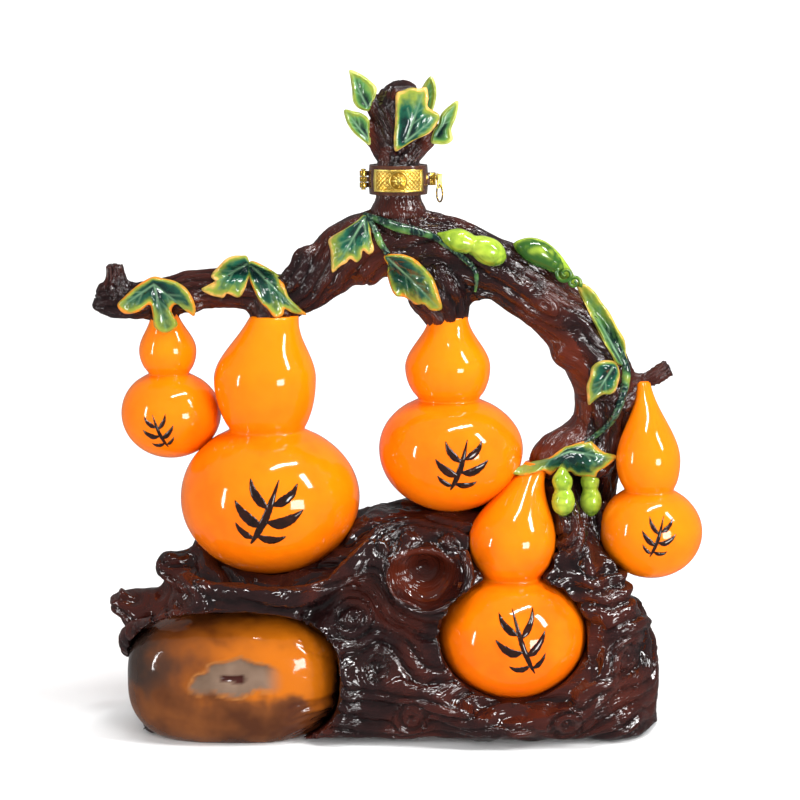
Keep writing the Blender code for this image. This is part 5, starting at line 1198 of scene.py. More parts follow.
# %% Distances from a drawn outline
def closed_curve(corners, count):
    """Points at even distances along a smooth closed line through the corners."""
    corners = np.array(corners, dtype=float)
    ring = []
    for i in range(len(corners)):
        a, b, c, d = [corners[(i + k - 1) % len(corners)] for k in range(4)]
        for t in np.linspace(0, 1, 12, endpoint=False):
            ring.append(0.5 * (2 * b + (c - a) * t + (2 * a - 5 * b + 4 * c - d) * t * t
                               + (3 * b - a - 3 * c + d) * t ** 3))
    ring = np.array(ring + [ring[0]])
    gone = np.concatenate([[0], np.cumsum(np.linalg.norm(np.diff(ring, axis=0), axis=1))])
    even = np.linspace(0, gone[-1], count, endpoint=False)
    return np.column_stack([np.interp(even, gone, ring[:, k]) for k in (0, 1)])


def depth_inside(xs, zs, outline):
    """How far each place lies inside a closed outline, in mm. Outside it is negative."""
    near = np.full(len(xs), 1e9)
    inside = np.zeros(len(xs), dtype=bool)
    for (ax, az), (bx, bz) in zip(outline, np.roll(outline, -1, axis=0)):
        step = (bx - ax) ** 2 + (bz - az) ** 2 + 1e-9
        t = np.clip(((xs - ax) * (bx - ax) + (zs - az) * (bz - az)) / step, 0, 1)
        near = np.minimum(near, np.hypot(xs - ax - t * (bx - ax), zs - az - t * (bz - az)))
        crosses = (az > zs) != (bz > zs)
        inside ^= crosses & (xs < ax + (zs - az) * (bx - ax) / (bz - az + 1e-9))
    return np.where(inside, near, -near)


# %% Boulder
# corners of the window and of the dark slot in it, x and z in millimetres
WINDOW = (
    (-103.5, 31.8), (-99.7, 38.0), (-95.1, 40.1), (-92.0, 44.3), (-86.5, 45.3), (-80.9, 46.4),
    (-77.8, 47.7), (-73.3, 45.9), (-66.2, 44.3), (-59.7, 42.2), (-53.6, 35.9), (-55.2, 30.7),
    (-62.3, 29.7), (-68.4, 30.7), (-71.4, 29.7), (-74.0, 27.6), (-79.6, 26.5), (-84.6, 27.8),
    (-91.7, 29.1), (-99.8, 28.9),
)
SLOT = (
    (-88.0, 36.6), (-85.0, 38.6), (-81.0, 37.6), (-77.0, 38.4), (-74.6, 36.0), (-77.2, 33.4),
    (-81.2, 35.2), (-85.0, 35.0),
)
BOULDER_FULLNESS = 2.7


def carve_boulder(stone):
    points, normals = mesh_arrays(stone)
    x, y, z = points.T
    front = eased(-y, 34, 44)
    ragged = waves(points / 3.2, 43.0) * 0.9
    window = depth_inside(x, z, closed_curve(WINDOW, 160)) + ragged
    slot = depth_inside(x, z, closed_curve(SLOT, 80)) + ragged * 0.4
    faded = 1 - eased(x, -66, -54)
    grey = eased(window, -0.4, 1.4) * front * faded
    lip = np.exp(-((window + 0.3) / 0.55) ** 2) * front * faded
    low_right = eased(x, -64, -44) * (1 - eased(z, 20, 30))
    bend = z + 0.55 * np.hypot(x + 40, z - 6) + 5 * waves(points / 16.0, 45.0)
    curls = ridges(bend, x, y, 6.5, 6.0, 46.0)
    creases = ridges(z + 0.5 * x + 6 * waves(points / 22.0, 47.0), x, y, 8.0, 7.0, 48.0)
    upper_right = eased(x + 0.6 * z, -30, -8)
    sink = 0.5 + 0.6 * waves(points / 26.0, 41.0)
    sink = sink + 1.1 * grey - 0.7 * lip + 2.2 * eased(slot, -0.3, 0.8) * front
    sink = sink + 2.0 * (1 - curls) * low_right + 0.8 * (1 - creases) * upper_right
    points = points - normals * sink[:, None]
    points[:, 2] = np.maximum(points[:, 2], 0.0)
    set_points(stone, points)
    store(stone, "geode", np.clip(grey, 0, 1))
    store(stone, "lip", np.clip(lip, 0, 1))
    dark = eased(slot, -0.6, 0.4) * front + low_right * 0.55 * (1 - curls * 0.6)
    store(stone, "slot", np.clip(dark, 0, 1))


boulder = ball("amber_boulder", *BOULDER, BOULDER_FULLNESS, 260, 150)
carve_boulder(boulder)
keep(painted(boulder, BOULDER_PAINT), "bottle", "amber_glaze", "boulder")

# %% [markdown]
# ## Leaves
# A leaf is a skin between its stem point and its drawn outline: spokes run out to the rim and
# rings divide them. For the vine's leaves each point is dropped straight back on to the wood
# and the gourds behind it. Where a leaf hangs free, it takes its depth from its neighbours.
# Veins run to the tips of the lobes; the flesh between them is puffed up, so that the glaze
# catches the light in streaks, and the rim is rolled.

# %% Falling on to the wood
def solid_tree(*objects):
    """A search tree over the faces of several meshes, in millimetres."""
    points, faces = [], []
    for obj in objects:
        start = len(points)
        points += [v.co / MM for v in obj.data.vertices]
        faces += [[start + k for k in face.vertices] for face in obj.data.polygons]
    return BVHTree.FromPolygons(points, faces)


BEHIND = solid_tree(vine_wood, root_wood, *gourd_skins.values())
IN_FRONT = -200.0                        # y from which the skins are looked for, mm


def skin_at(tree, x, z):
    """Point and direction of the first skin that lies straight behind a place, or None twice."""
    return tree.ray_cast((x, IN_FRONT, z), (0.0, 1.0, 0.0))[:2]


def depth_behind(xs, zs, near, far):
    """y of the wood or gourd behind each place, between near and far, or nan without one."""
    found = []
    for x, z in zip(xs.tolist(), zs.tolist()):
        hit, _ = skin_at(BEHIND, x, z)
        found.append(hit.y if hit and hit.y < far + 4 else np.nan)
    return np.clip(np.array(found), near, far)


def settled(depth, rounds):
    """Fills the empty places of a polar grid of depths from their neighbours, then evens it out."""
    empty = np.isnan(depth)
    depth = np.where(empty, np.nanmean(depth), depth)
    for k in range(rounds):
        padded = np.vstack([np.full(depth.shape[1], depth[0].mean()), depth, depth[-1]])
        around = np.roll(depth, 1, axis=1) + np.roll(depth, -1, axis=1)
        near = (padded[:-2] + padded[2:] + around) / 4
        depth = np.where(empty | (k >= rounds - 10), near, depth)
    return depth


# %% A leaf between its stem and its outline
LEAF_SPOKES = 132
LEAF_RINGS = 24


def nearest_line(grid, lines):
    """Distance of each place of a grid from the nearest of some straight lines."""
    best = np.full(grid.shape[:2], 1e9)
    for start, end in lines:
        run = end - start
        t = np.clip(((grid - start) @ run) / (run @ run), 0, 1)
        best = np.minimum(best, np.linalg.norm(grid - start - t[..., None] * run, axis=2))
    return best


def lobe_tips(rim, root):
    """The rim's outermost points, one for each lobe."""
    reach = np.linalg.norm(rim - root, axis=1)
    span = LEAF_SPOKES // 14
    peaks = []
    for i, value in enumerate(reach):
        near = [reach[(i + k) % len(reach)] for k in range(-span, span + 1)]
        if value >= max(near) and value > 0.45 * reach.max():
            peaks.append(rim[i])
    return peaks


def side_veins(root, tips):
    lines = []
    for tip in tips:
        run = tip - root
        for share in (0.32, 0.52, 0.70):
            for turn in (-0.62, 0.62):
                aside = np.array([[cos(turn), -sin(turn)], [sin(turn), cos(turn)]]) @ run
                start = root + share * run
                lines.append((start, start + aside * 0.34 * (1.15 - share)))
    return lines


def make_leaf(name, paint, root, outline, depth_at, thickness=1.7, puff=1.3):
    """depth_at gives y for flat arrays of x and z. All lengths are in millimetres."""
    root = np.array(root, dtype=float)
    rim = closed_curve(outline, LEAF_SPOKES)
    share = np.linspace(0.015, 1.0, LEAF_RINGS) ** 0.85
    grid = root + (rim - root)[None] * share[:, None, None]
    depth = depth_at(grid[..., 0].ravel(), grid[..., 1].ravel()).reshape(grid.shape[:2])
    depth = settled(depth, 60)
    tips = lobe_tips(rim, root)
    main = nearest_line(grid, [(root, tip) for tip in tips])
    side = nearest_line(grid, side_veins(root, tips))
    from_rim = nearest_line(grid, list(zip(rim, np.roll(rim, -1, axis=0))))
    flesh = (1 - np.exp(-(main / 1.5) ** 2)) * (1 - 0.45 * np.exp(-(side / 0.6) ** 2))
    roll = 0.7 * np.exp(-((from_rim - 1.1) / 0.8) ** 2) - 0.9 * np.exp(-(from_rim / 0.5) ** 2)
    swell = eased(from_rim, 0, 5)
    front = depth - 1.6 - puff * flesh * swell - roll
    rows = [np.column_stack([ring[:, 0], y, ring[:, 1]]) for ring, y in zip(grid, front)]
    inner = [np.column_stack([ring[:, 0], y + thickness * (0.3 + 0.7 * s), ring[:, 1]])
             for ring, y, s in zip(grid, front, swell)]
    rings = [[Vector(p) * MM for p in row.tolist()] for row in rows + inner[::-1]]
    leaf = new_object(name, *loft(rings), paint)
    edge = np.clip(0.80 * share[:, None] ** 1.3 + 0.36 * (1 - np.clip(from_rim / 3.2, 0, 1)), 0, 1)
    # The veins' mask is kept for the pale streaks painted along them as highlights.
    vein_highlight = np.clip(np.maximum(np.exp(-(main / 0.55) ** 2), 0.75 * np.exp(-(side / 0.4) ** 2)), 0, 1)
    store(leaf, "edge", np.concatenate([edge, edge[::-1]]).ravel())
    store(leaf, "vein_highlight", np.concatenate([vein_highlight, vein_highlight[::-1]]).ravel())
    return leaf


# %% [markdown]
# Each leaf of the vine has its glaze, its stem point, how near to the camera and how far from it
# the skin may lie, and the corners of its outline, as x and z. Two leaves on the crown of the
# big gourd run down over its stem; the drooping one does so on the middle gourd.

# %% Leaves of the vine
VINE_LEAVES = {
    "left_leaf": (AMBER_LEAF, (-122.5, 232.4), (-19, -7), (
        (-122.4, 236.4), (-117.7, 235.4), (-111.5, 233.8), (-105.3, 229.7), (-101.5, 222.5),
        (-102.3, 215.8), (-107.6, 220.5), (-111.6, 222.0), (-113.7, 218.4), (-110.8, 211.2),
        (-117.0, 207.0), (-122.6, 210.1), (-123.5, 217.4), (-125.0, 222.0), (-130.6, 218.4),
        (-137.8, 217.4), (-141.5, 221.5), (-138.2, 225.6), (-132.7, 230.5), (-127.2, 234.4),
    )),
    "crown_leaf_left": (PALE_RIM_LEAF, (-74.5, 242.8), (-16, 2), (
        (-74.4, 246.3), (-78.0, 247.1), (-82.0, 246.9), (-85.9, 245.1), (-89.7, 241.2),
        (-93.4, 236.6), (-91.1, 233.3), (-98.1, 230.2), (-93.5, 226.9), (-87.2, 225.6),
        (-84.8, 227.9), (-79.3, 225.8), (-76.1, 229.4), (-74.5, 234.2), (-72.9, 238.2),
    )),
    "crown_leaf_right": (AMBER_LEAF, (-72.8, 241.8), (-18, 2), (
        (-72.8, 244.4), (-66.7, 242.4), (-60.6, 238.3), (-55.6, 232.6), (-53.1, 226.0),
        (-48.0, 220.6), (-44.5, 216.2), (-51.6, 218.0), (-55.2, 220.3), (-56.2, 217.2),
        (-60.3, 216.2), (-63.9, 220.3), (-67.9, 223.9), (-70.9, 229.0), (-73.4, 234.7),
        (-74.9, 239.3),
    )),
    "arch_leaf": (PALE_RIM_LEAF, (-14.7, 266.0), (-19, 2), (
        (-13.7, 268.4), (-18.7, 264.9), (-24.3, 261.3), (-29.7, 258.2), (-33.0, 255.2),
        (-31.8, 250.6), (-31.5, 244.7), (-30.8, 239.1), (-26.8, 242.4), (-23.9, 244.0),
        (-21.6, 246.2), (-18.6, 244.5), (-16.2, 246.7), (-15.2, 250.6), (-12.2, 248.6),
        (-9.6, 251.1), (-11.1, 257.8), (-11.6, 263.4),
    )),
    "drooping_leaf": (AMBER_LEAF, (-2.5, 246.7), (-23, -3), (
        (-4.5, 247.8), (2.4, 248.8), (7.7, 247.8), (11.7, 245.7), (16.3, 241.4), (20.4, 236.5),
        (23.2, 229.1), (25.0, 220.7), (19.9, 219.6), (15.8, 222.5), (11.1, 222.2), (5.6, 225.8),
        (1.6, 226.8), (-1.0, 230.4), (-2.8, 236.5), (-2.0, 241.6),
    )),
    "outer_leaf": (LIME_LEAF, (118.6, 190.9), (-17, -1), (
        (121.2, 189.9), (120.6, 195.6), (119.4, 203.4), (115.5, 209.9), (111.5, 217.5),
        (107.6, 222.5), (103.7, 228.2), (99.0, 232.0), (94.1, 233.0), (95.0, 229.3), (97.4, 224.6),
        (100.1, 218.9), (103.1, 212.7), (106.0, 207.0), (109.1, 201.3), (112.3, 196.1),
        (115.0, 191.4),
    )),
    "trunk_leaf": (PALE_RIM_LEAF, (113.0, 190.1), (-15, -2), (
        (115.6, 190.6), (112.5, 193.2), (106.3, 193.4), (102.3, 190.3), (101.3, 185.7),
        (99.8, 179.9), (100.2, 175.0), (101.0, 169.8), (104.5, 172.9), (108.1, 175.5),
        (112.0, 175.8), (114.8, 177.6), (115.7, 180.7), (116.7, 185.4),
    )),
    "low_leaf": (AMBER_LEAF, (91.3, 146.6), (-30, -8), (
        (92.1, 149.5), (88.5, 148.7), (84.4, 146.1), (80.3, 143.2), (72.5, 140.3), (65.6, 138.5),
        (59.9, 135.9), (65.7, 134.3), (72.5, 135.6), (77.3, 136.4), (81.4, 133.8), (84.0, 137.4),
        (86.5, 137.2), (89.2, 134.6), (91.9, 135.1), (94.3, 133.0), (97.4, 132.7), (101.5, 133.2),
        (104.6, 133.0), (106.1, 136.1), (111.8, 139.3), (115.8, 143.2), (109.6, 145.6),
        (105.5, 148.4), (102.3, 151.2), (99.3, 151.3), (94.6, 150.3),
    )),
}
for leaf_name, (paint, root, (near, far), outline) in VINE_LEAVES.items():
    leaf = make_leaf(leaf_name + "_glazed", paint, root, outline,
                     lambda xs, zs: depth_behind(xs, zs, near, far))
    keep(leaf, "bottle", "leaf_glaze", leaf_name)

# %% [markdown]
# ## Young gourds and the pod
# The young gourds are small and smooth, so a tube through a few stations, with a radius at
# each, is all they need. Two lie along the arch and two hang between the big ones. A shade value
# darkens the glaze in their waists and underneath. The pod is one more such form, with two thin
# tendrils that curl off its lower end.

# %% Small fruits
FRUITS = {
    "young_gourd": in_mm(
        (22.5, -15.5, 259.0, .4), (25, -16.4, 258.4, 1.8), (28.5, -17.4, 257.2, 4.4),
        (33, -17.8, 255.9, 6.1), (37.5, -17.4, 254.4, 5.6), (40.5, -16.8, 253.4, 4.9),
        (44, -16.4, 252.2, 6.2), (48.5, -15.6, 250.0, 7.1), (53, -14.6, 247.4, 6.0),
        (56, -13.8, 245.6, 3.2), (57, -13.6, 245, .8)),
    "pod": in_mm(
        (61.5, -8, 253.0, .5), (64, -8.6, 252.4, 3.2), (69, -8.8, 250.8, 6.0),
        (75, -8.4, 248.2, 6.9), (81, -7.8, 244.6, 5.7), (86, -7.2, 240.4, 4.2),
        (90, -6.8, 236.2, 3.0), (93, -6.4, 232.4, 1.5), (94, -6.2, 231, .6)),
    "low_gourd_left": in_mm(
        (86.4, -21.5, 139.0, 1.3), (86.6, -23, 137.2, 3.0), (86.7, -23.6, 134.0, 5.1),
        (87, -23.8, 130.6, 5.0), (87.1, -23.8, 128.2, 4.3), (87.3, -23.9, 125.6, 5.4),
        (87.4, -23.9, 121.6, 6.0), (87.4, -23.9, 117.4, 4.9), (87.4, -23.9, 114.8, 2.0),
        (87.4, -23.9, 114.2, .6)),
    "low_gourd_right": in_mm(
        (101.9, -10.2, 136.4, 1.2), (102, -10.8, 134.4, 2.8), (102, -10.9, 131.4, 4.7),
        (102.1, -10.9, 128.2, 4.6), (102.2, -10.9, 125.8, 4.0), (102.5, -10.9, 122.6, 5.2),
        (102.6, -10.9, 118.6, 5.7), (102.6, -10.9, 114.6, 4.4), (102.6, -10.9, 112, 1.8),
        (102.6, -10.9, 111.4, .6)),
}
TENDRILS = ((88.0, 238.0, 4.6, 2.4), (92.5, 233.5, 3.6, -0.6))       # x, z, reach and first angle
TENDRIL_DEPTH = -11.5


def tendril(x, z, reach, start):
    stations = []
    for t in np.linspace(0, 1, 26):
        turn, out = start + 8.5 * t, reach * (1 - 0.82 * t)
        stations.append((x + out * cos(turn), TENDRIL_DEPTH - 1.5 * t, z + out * sin(turn),
                         1.15 - 0.5 * t))
    return tube("tendril", in_mm(*stations), 12, FRUIT)


def make_fruit(node, stations):
    fruit = tube(node + "_glazed", smooth_path(stations, 7), 40, FRUIT)
    if node == "pod":
        tendrils = [tendril(*plan) for plan in TENDRILS]
        fruit = painted(joined("pod_glazed", fruit, *tendrils), FRUIT)
    points, normals = mesh_arrays(fruit)
    fibres = np.abs(waves(points / (9, 2, 4), 61.0))
    # Painted shade: the glaze darkens where the skin faces down; the fibre streaks and the pod's
    # dark tendrils are its own colour.
    under = eased(-normals[:, 2], -0.1, 0.9) * (0.9 if node == "pod" else 0.55)
    curl = (points[:, 1] < -11.0) * (0.8 if node == "pod" else 0.0)
    store(fruit, "shade", np.clip(under + (0.3 - fibres) * 1.1 + curl, 0, 1))
    return fruit


for fruit_name, stations in FRUITS.items():
    keep(make_fruit(fruit_name, stations), "bottle", "fruit_glaze", fruit_name)

# %% [markdown]
# ## Strands
# Two green strands lie on the vine, one along the arch and one down the trunk. They are what
# Geometry Nodes does best: a line of points becomes a curve, the curve is resampled evenly, and
# a small ring is swept along it, scaled by a thickness that each point of the line carries.

# %% Strand tree
def even_curve(tree, given):
    """The object's line as a curve, with Count points at even distances."""
    line = wire(tree, "GeometryNodeMeshToCurve", Mesh=given["Geometry"]).outputs[0]
    return wire(tree, "GeometryNodeResampleCurve", Curve=line, Count=given["Count"]).outputs[0]


def strand_tree():
    tree, given = new_tree("Strand", Strand_Radius="Float", Count="Int")
    ring = wire(tree, "GeometryNodeCurvePrimitiveCircle", Resolution=14,
                Radius=given["Strand Radius"])
    thickness = wire(tree, "GeometryNodeInputNamedAttribute", {"data_type": "FLOAT"},
                     Name="thickness")
    swept = wire(tree, "GeometryNodeCurveToMesh", Curve=even_curve(tree, given),
                 Profile_Curve=ring.outputs["Curve"], Scale=thickness.outputs[0], Fill_Caps=True)
    return finish_tree(tree, swept.outputs[0], given["Material"])


STRAND_TREE = strand_tree()
print("strand tree:", len(STRAND_TREE.nodes), "nodes")

# %% Strands on the vine
STRAND_RADIUS = 1.7                      # mm, where the thickness is 1
# x and z of each stop, in millimetres, and the thickness there
STRANDS = {
    "arch_strand": [
        ((-14.6, 268.1, 0.7), (-6.5, 265.4, 1.2), (3.6, 262.0, 1.5), (12.7, 260.0, 1.3),
         (20.9, 257.4, 1.0), (29.0, 252.0, 0.9), (37.1, 245.6, 0.9), (41.2, 241.2, 0.8),
         (42.6, 235.5, 0.7), (42.0, 229.0, 0.4)),
        ((-12.6, 266.6, 0.7), (-9.1, 260.5, 1.0), (-6.0, 253.9, 1.0), (-2.5, 248.6, 0.9)),
    ],
    "trunk_strand": [
        ((109.6, 210.8, 0.4), (113.2, 204.0, 0.8), (116.8, 196.8, 1.3), (120.0, 187.9, 1.5),
         (119.8, 181.2, 1.4), (118.0, 173.4, 1.3), (115.0, 165.6, 1.1), (110.6, 158.8, 1.0),
         (104.0, 153.2, 0.8), (98.4, 149.8, 0.5)),
    ],
}


def drawn_path(stops, steps):
    """A smooth path through (x, z, size) stops, as points and sizes in millimetres."""
    rows = in_mm(*[(x, 0, z, size) for x, z, size in stops])
    return [(point / MM, size / MM) for point, size in smooth_path(rows, steps)]


def make_strand(node, lines):
    parts = []
    for stops in lines:
        path = drawn_path(stops, 8)
        xs, zs = np.array([p.x for p, _ in path]), np.array([p.z for p, _ in path])
        depth = depth_behind(xs, zs, -26, 0)
        empty = np.isnan(depth)
        depth[empty] = np.interp(np.flatnonzero(empty), np.flatnonzero(~empty), depth[~empty])
        for _ in range(4):
            depth[1:-1] = (depth[:-2] + depth[1:-1] + depth[2:]) / 3
        points = [(x * MM, (y - 0.9) * MM, z * MM) for x, y, z in zip(xs, depth, zs)]
        line = line_object(node, points)
        store(line, "thickness", np.array([size for _, size in path]))
        inputs = {"Strand Radius": STRAND_RADIUS * MM, "Count": 110, "Material": LIME_LEAF}
        parts.append(grown(line, STRAND_TREE, inputs))
    strand = painted(joined(node + "_glazed", *parts), LIME_LEAF)
    points, normals = mesh_arrays(strand)
    # Painted highlight: the strands turn paler where they face down, a light line along their lower
    # edge, and pale streaks are painted on at random.
    edge = 0.24 + 0.9 * waves(points / 7.0, 63.0) - 0.3 * normals[:, 2]
    store(strand, "edge", np.clip(edge, 0, 0.84))
    store(strand, "vein_highlight", eased(np.abs(waves(points / 2.6, 64.0)), 0.2, 0.0) * 0.5)
    return strand


for strand_name, lines in STRANDS.items():
    keep(make_strand(strand_name, lines), "bottle", "leaf_glaze", strand_name)

# %% [markdown]
# ## Brush sprigs
# Each bulb carries a dark mark in raised glaze. Here it is a plain leafy sprig in brush strokes.
# A stroke is a low ridge that swells and thins along its path, as a loaded brush leaves it. Every
# ring of it is set on the gourd's skin, along the skin's own direction there.

# %% Brush strokes
# stops of each stroke: across, up and half width, over half the mark's size
SPRIG = (
    ((-0.42, -0.98, 0.03), (-0.25, -0.62, 0.10), (-0.06, -0.12, 0.12), (0.06, 0.34, 0.09),
     (0.20, 0.95, 0.02)),
    ((-0.12, -0.40, 0.04), (-0.44, -0.30, 0.17), (-0.78, -0.04, 0.13), (-1.00, 0.24, 0.02)),
    ((-0.04, -0.26, 0.04), (0.34, -0.28, 0.18), (0.70, -0.10, 0.14), (0.98, 0.16, 0.02)),
    ((0.00, 0.12, 0.03), (-0.26, 0.30, 0.14), (-0.50, 0.58, 0.11), (-0.62, 0.90, 0.02)),
    ((0.08, 0.22, 0.03), (0.36, 0.36, 0.15), (0.62, 0.60, 0.11), (0.74, 0.88, 0.02)),
    ((-0.28, -0.70, 0.03), (0.02, -0.80, 0.13), (0.32, -0.78, 0.10), (0.56, -0.66, 0.02)),
    ((-0.36, -0.80, 0.03), (-0.56, -0.74, 0.11), (-0.78, -0.58, 0.08), (-0.92, -0.40, 0.02)),
)
STROKE_RISE = 0.85                        # how far a stroke stands off the skin, mm
# where each mark is: x, z, half width, half height, lean in degrees, and 1 or -1 to mirror it
MARKS = {
    "relief_big": ("gourd_big", -62.5, 121.5, 17.5, 17.5, -6, 1),
    "relief_left": ("gourd_left", -120.5, 157.5, 8.2, 9.6, 8, -1),
    "relief_middle": ("gourd_middle", 35.0, 143.5, 13.5, 13.5, 0, 1),
    "relief_front": ("gourd_front", 64.4, 57.0, 12.8, 17.0, 6, -1),
    "relief_right": ("gourd_right", 135.4, 106.4, 8.8, 11.0, -4, 1),
}


def stroke_rings(tree, stops):
    """Closed rings of one stroke, given as x, z and half width in mm, on the skin behind it."""
    path = drawn_path(stops, 9)
    rings = []
    for i, (point, width) in enumerate(path):
        run = path[min(i + 1, len(path) - 1)][0] - path[max(i - 1, 0)][0]
        aside = Vector((run.z, 0, -run.x)).normalized()
        width *= 1 + 0.16 * noise.noise((point.x / 1.4, point.z / 1.4, 7.0))
        rise = STROKE_RISE * min(1.0, width / 0.8)
        ring = []
        for share in (-1.0, -0.8, -0.45, 0.0, 0.45, 0.8, 1.0, 0.6, -0.6):
            under = len(ring) > 6
            place = point + aside * (width * share)
            hit, normal = skin_at(tree, place.x, place.z)
            lift = -0.5 if under else rise * sqrt(max(1 - share * share, 0.0)) - 0.15
            ring.append((hit + normal * lift) * MM)
        rings.append(ring)
    return rings


def make_mark(node, gourd, x, z, half_width, half_height, lean, mirror):
    tree = solid_tree(gourd_skins[gourd])
    turn = radians(lean)
    strokes = []
    for stroke in SPRIG:
        stops = []
        for across, up, width in stroke:
            u, v = across * half_width * mirror, up * half_height
            stops.append((x + u * cos(turn) - v * sin(turn), z + u * sin(turn) + v * cos(turn),
                          width * half_width))
        strokes.append(new_object("stroke", *loft(stroke_rings(tree, stops))))
    return painted(joined(node + "_painted", *strokes), BRUSH)


for node, (gourd, *place) in MARKS.items():
    keep(make_mark(node, gourd, *place), "bottle", "ink_glaze", node)

# %% [markdown]
# ## Neck and stopper
# The neck is turned, like a potter's ring: one profile goes round the bottle's axis, and a bevel
# rounds its edges as the glaze does. The stopper is a stump of the same wood with three short
# twigs. Its parts are melted together, and then grain is cut up its sides, following the twigs.

# %% Turned neck
def turned(name, profile, sides, paint):
    """A closed profile of (radius, z) turned round the neck's axis, in millimetres."""
    count = len(profile)
    verts = [
        Vector((NECK_X + r * cos(2 * pi * k / sides), r * sin(2 * pi * k / sides), z)) * MM
        for k in range(sides) for r, z in profile
    ]
    faces = []
    for k in range(sides):
        for i in range(count):
            a, b = k * count, (k + 1) % sides * count
            j = (i + 1) % count
            faces.append((a + i, b + i, b + j, a + j))
    return new_object(name, verts, faces, paint)


def rounded(obj, width, segments=3):
    """Rounds a piece's crisp edges, then shades it smooth but for what is still sharp."""
    shaped(obj, ("BEVEL", {"width": width * MM, "segments": segments, "limit_method": "ANGLE",
                           "angle_limit": radians(25)}))
    obj.data.shade_smooth()
    obj.data.set_sharp_from_angle(angle=radians(50))
    return obj


# radius and height, once round the wall of the neck
NECK_PROFILE = (
    (8.0, 266.4), (14.3, 266.4), (14.5, 268.6), (14.2, 270.6), (13.2, 272.6), (12.2, 274.4),
    (11.6, 276.4), (11.5, 279.3), (13.1, 279.4), (13.1, 285.8), (8.0, 285.8),
)


def make_neck():
    obj = rounded(turned("neck_glazed", NECK_PROFILE, 128, BARK), 0.45)
    x, y, z = mesh_arrays(obj)[0].T
    turns = np.arctan2(y, x - NECK_X)
    upright = waves(np.column_stack([np.cos(turns) * 3, np.sin(turns) * 3, z / 12]), 71.0)
    store(obj, "ridge", np.clip(0.55 + 0.5 * upright, 0, 1))
    store(obj, "grain", np.column_stack([np.cos(turns) * 9, np.sin(turns) * 9, z / 6]))
    store(obj, "rust", np.full(len(x), 0.35))
    return obj


keep(make_neck(), "bottle", "dark_glaze", "neck")

# %% Stump of the stopper
# radius and height up the plug and its flange
PLUG = ((5.4, 267.4), (5.5, 268.2), (5.5, 286.0), (12.9, 286.4), (13.1, 286.8), (13.1, 291.6),
        (12.7, 292.2), (11.4, 293.0))
# radius, height and how far the middle leans to the right, up the stump
STUMP = (
    (10.9, 294.0, 0), (10.3, 298.5, 0), (10.8, 306.0, 0), (11.2, 314.0, -0.4), (11.3, 321.0, -0.6),
    (10.8, 326.5, -0.4), (9.8, 330.5, 0.4), (7.8, 333.6, 1.0), (4.6, 335.5, 1.4), (1.2, 336.0, 1.5),
)
TWIGS = (
    in_mm((-1, 0, 298, 8.0), (-7, -1, 305, 6.6), (-14, -1.8, 312, 4.4), (-18, -2, 318, 2.6)),
    in_mm((6, 0, 298, 8.0), (14, -0.6, 304, 6.2), (21, -1, 310, 4.2), (23.5, -1, 314, 2.4)),
    in_mm((0, 0, 312, 8.4), (-6.5, 0, 320, 6.4), (-12.5, 0, 327.5, 3.9), (-15, -0.5, 331, 2.2)),
    in_mm((3, 8, 306, 6.0), (9, 10, 314, 4.2), (15, 10.5, 321, 2.4)),
    in_mm((3, -7.5, 300, 5.0), (5, -9.5, 306, 3.4), (7, -10.5, 312, 2.0)),
)


def stump_blank():
    circle = np.linspace(0, 2 * pi, 72, endpoint=False)
    rings = [[Vector((NECK_X + shift + r * cos(a), r * sin(a), z)) * MM for a in circle]
             for r, z, shift in [(r, z, 0) for r, z in PLUG] + list(STUMP)]
    forms = [new_object("stump", *loft(rings))]
    forms += [tube("twig", smooth_path(path, 5), 20) for path in TWIGS]
    return melted(joined("stopper_wood", *forms), 0.55, 3)


def carve_stump(wood):
    points, normals = mesh_arrays(wood)
    x, y, z = points.T
    bark = eased(z, 293.5, 296.0)        # nothing is cut into the flange below
    rows = route_table([in_mm((NECK_X, 0, 290, 1), (NECK_X, 0, 336, 1)), *TWIGS[:3]])
    _, angle = along_route(points, rows)
    bend = angle + 0.5 * waves(points / 13.0, 72.0)
    u, v = np.cos(bend) * 9, np.sin(bend) * 9
    wide, fine = [
        np.clip(np.abs(waves(np.column_stack([u, v, z]) / (width, width, tall), seed)) * 2.6, 0, 1)
        ** 0.6 for width, tall, seed in ((3.4, 40, 73.0), (1.5, 22, 74.0))
    ]
    lumps = waves(points / 6.5, 75.0) * 0.6 * bark
    sink = bark * (1.15 * (1 - wide) + 0.45 * (1 - fine)) - lumps
    set_points(wood, points - normals * sink[:, None])
    store(wood, "ridge", np.clip(0.72 * wide + 0.38 * fine, 0, 1) * (0.35 + 0.65 * bark))
    store(wood, "grain", np.column_stack([u / 0.8, v / 0.8, z / 9.0]))
    warm = eased(np.hypot(x - NECK_X, y), 11.5, 17.0) * bark
    rust = warm * 0.9 + eased(waves(points / 12.0, 76.0), 0.2, 0.5) * 0.5
    store(wood, "rust", np.clip(rust, 0, 1))


stopper_wood = stump_blank()
carve_stump(stopper_wood)
keep(painted(stopper_wood, BARK), "stopper", "dark_glaze", "stopper")

# %% [markdown]
# The stopper's leaves are made like the vine's. The front one lies against the stump; the others
# stand free on their twigs, so their depth comes from a plain bowl instead: level in the middle
# and bending back, or forward, to the rim.

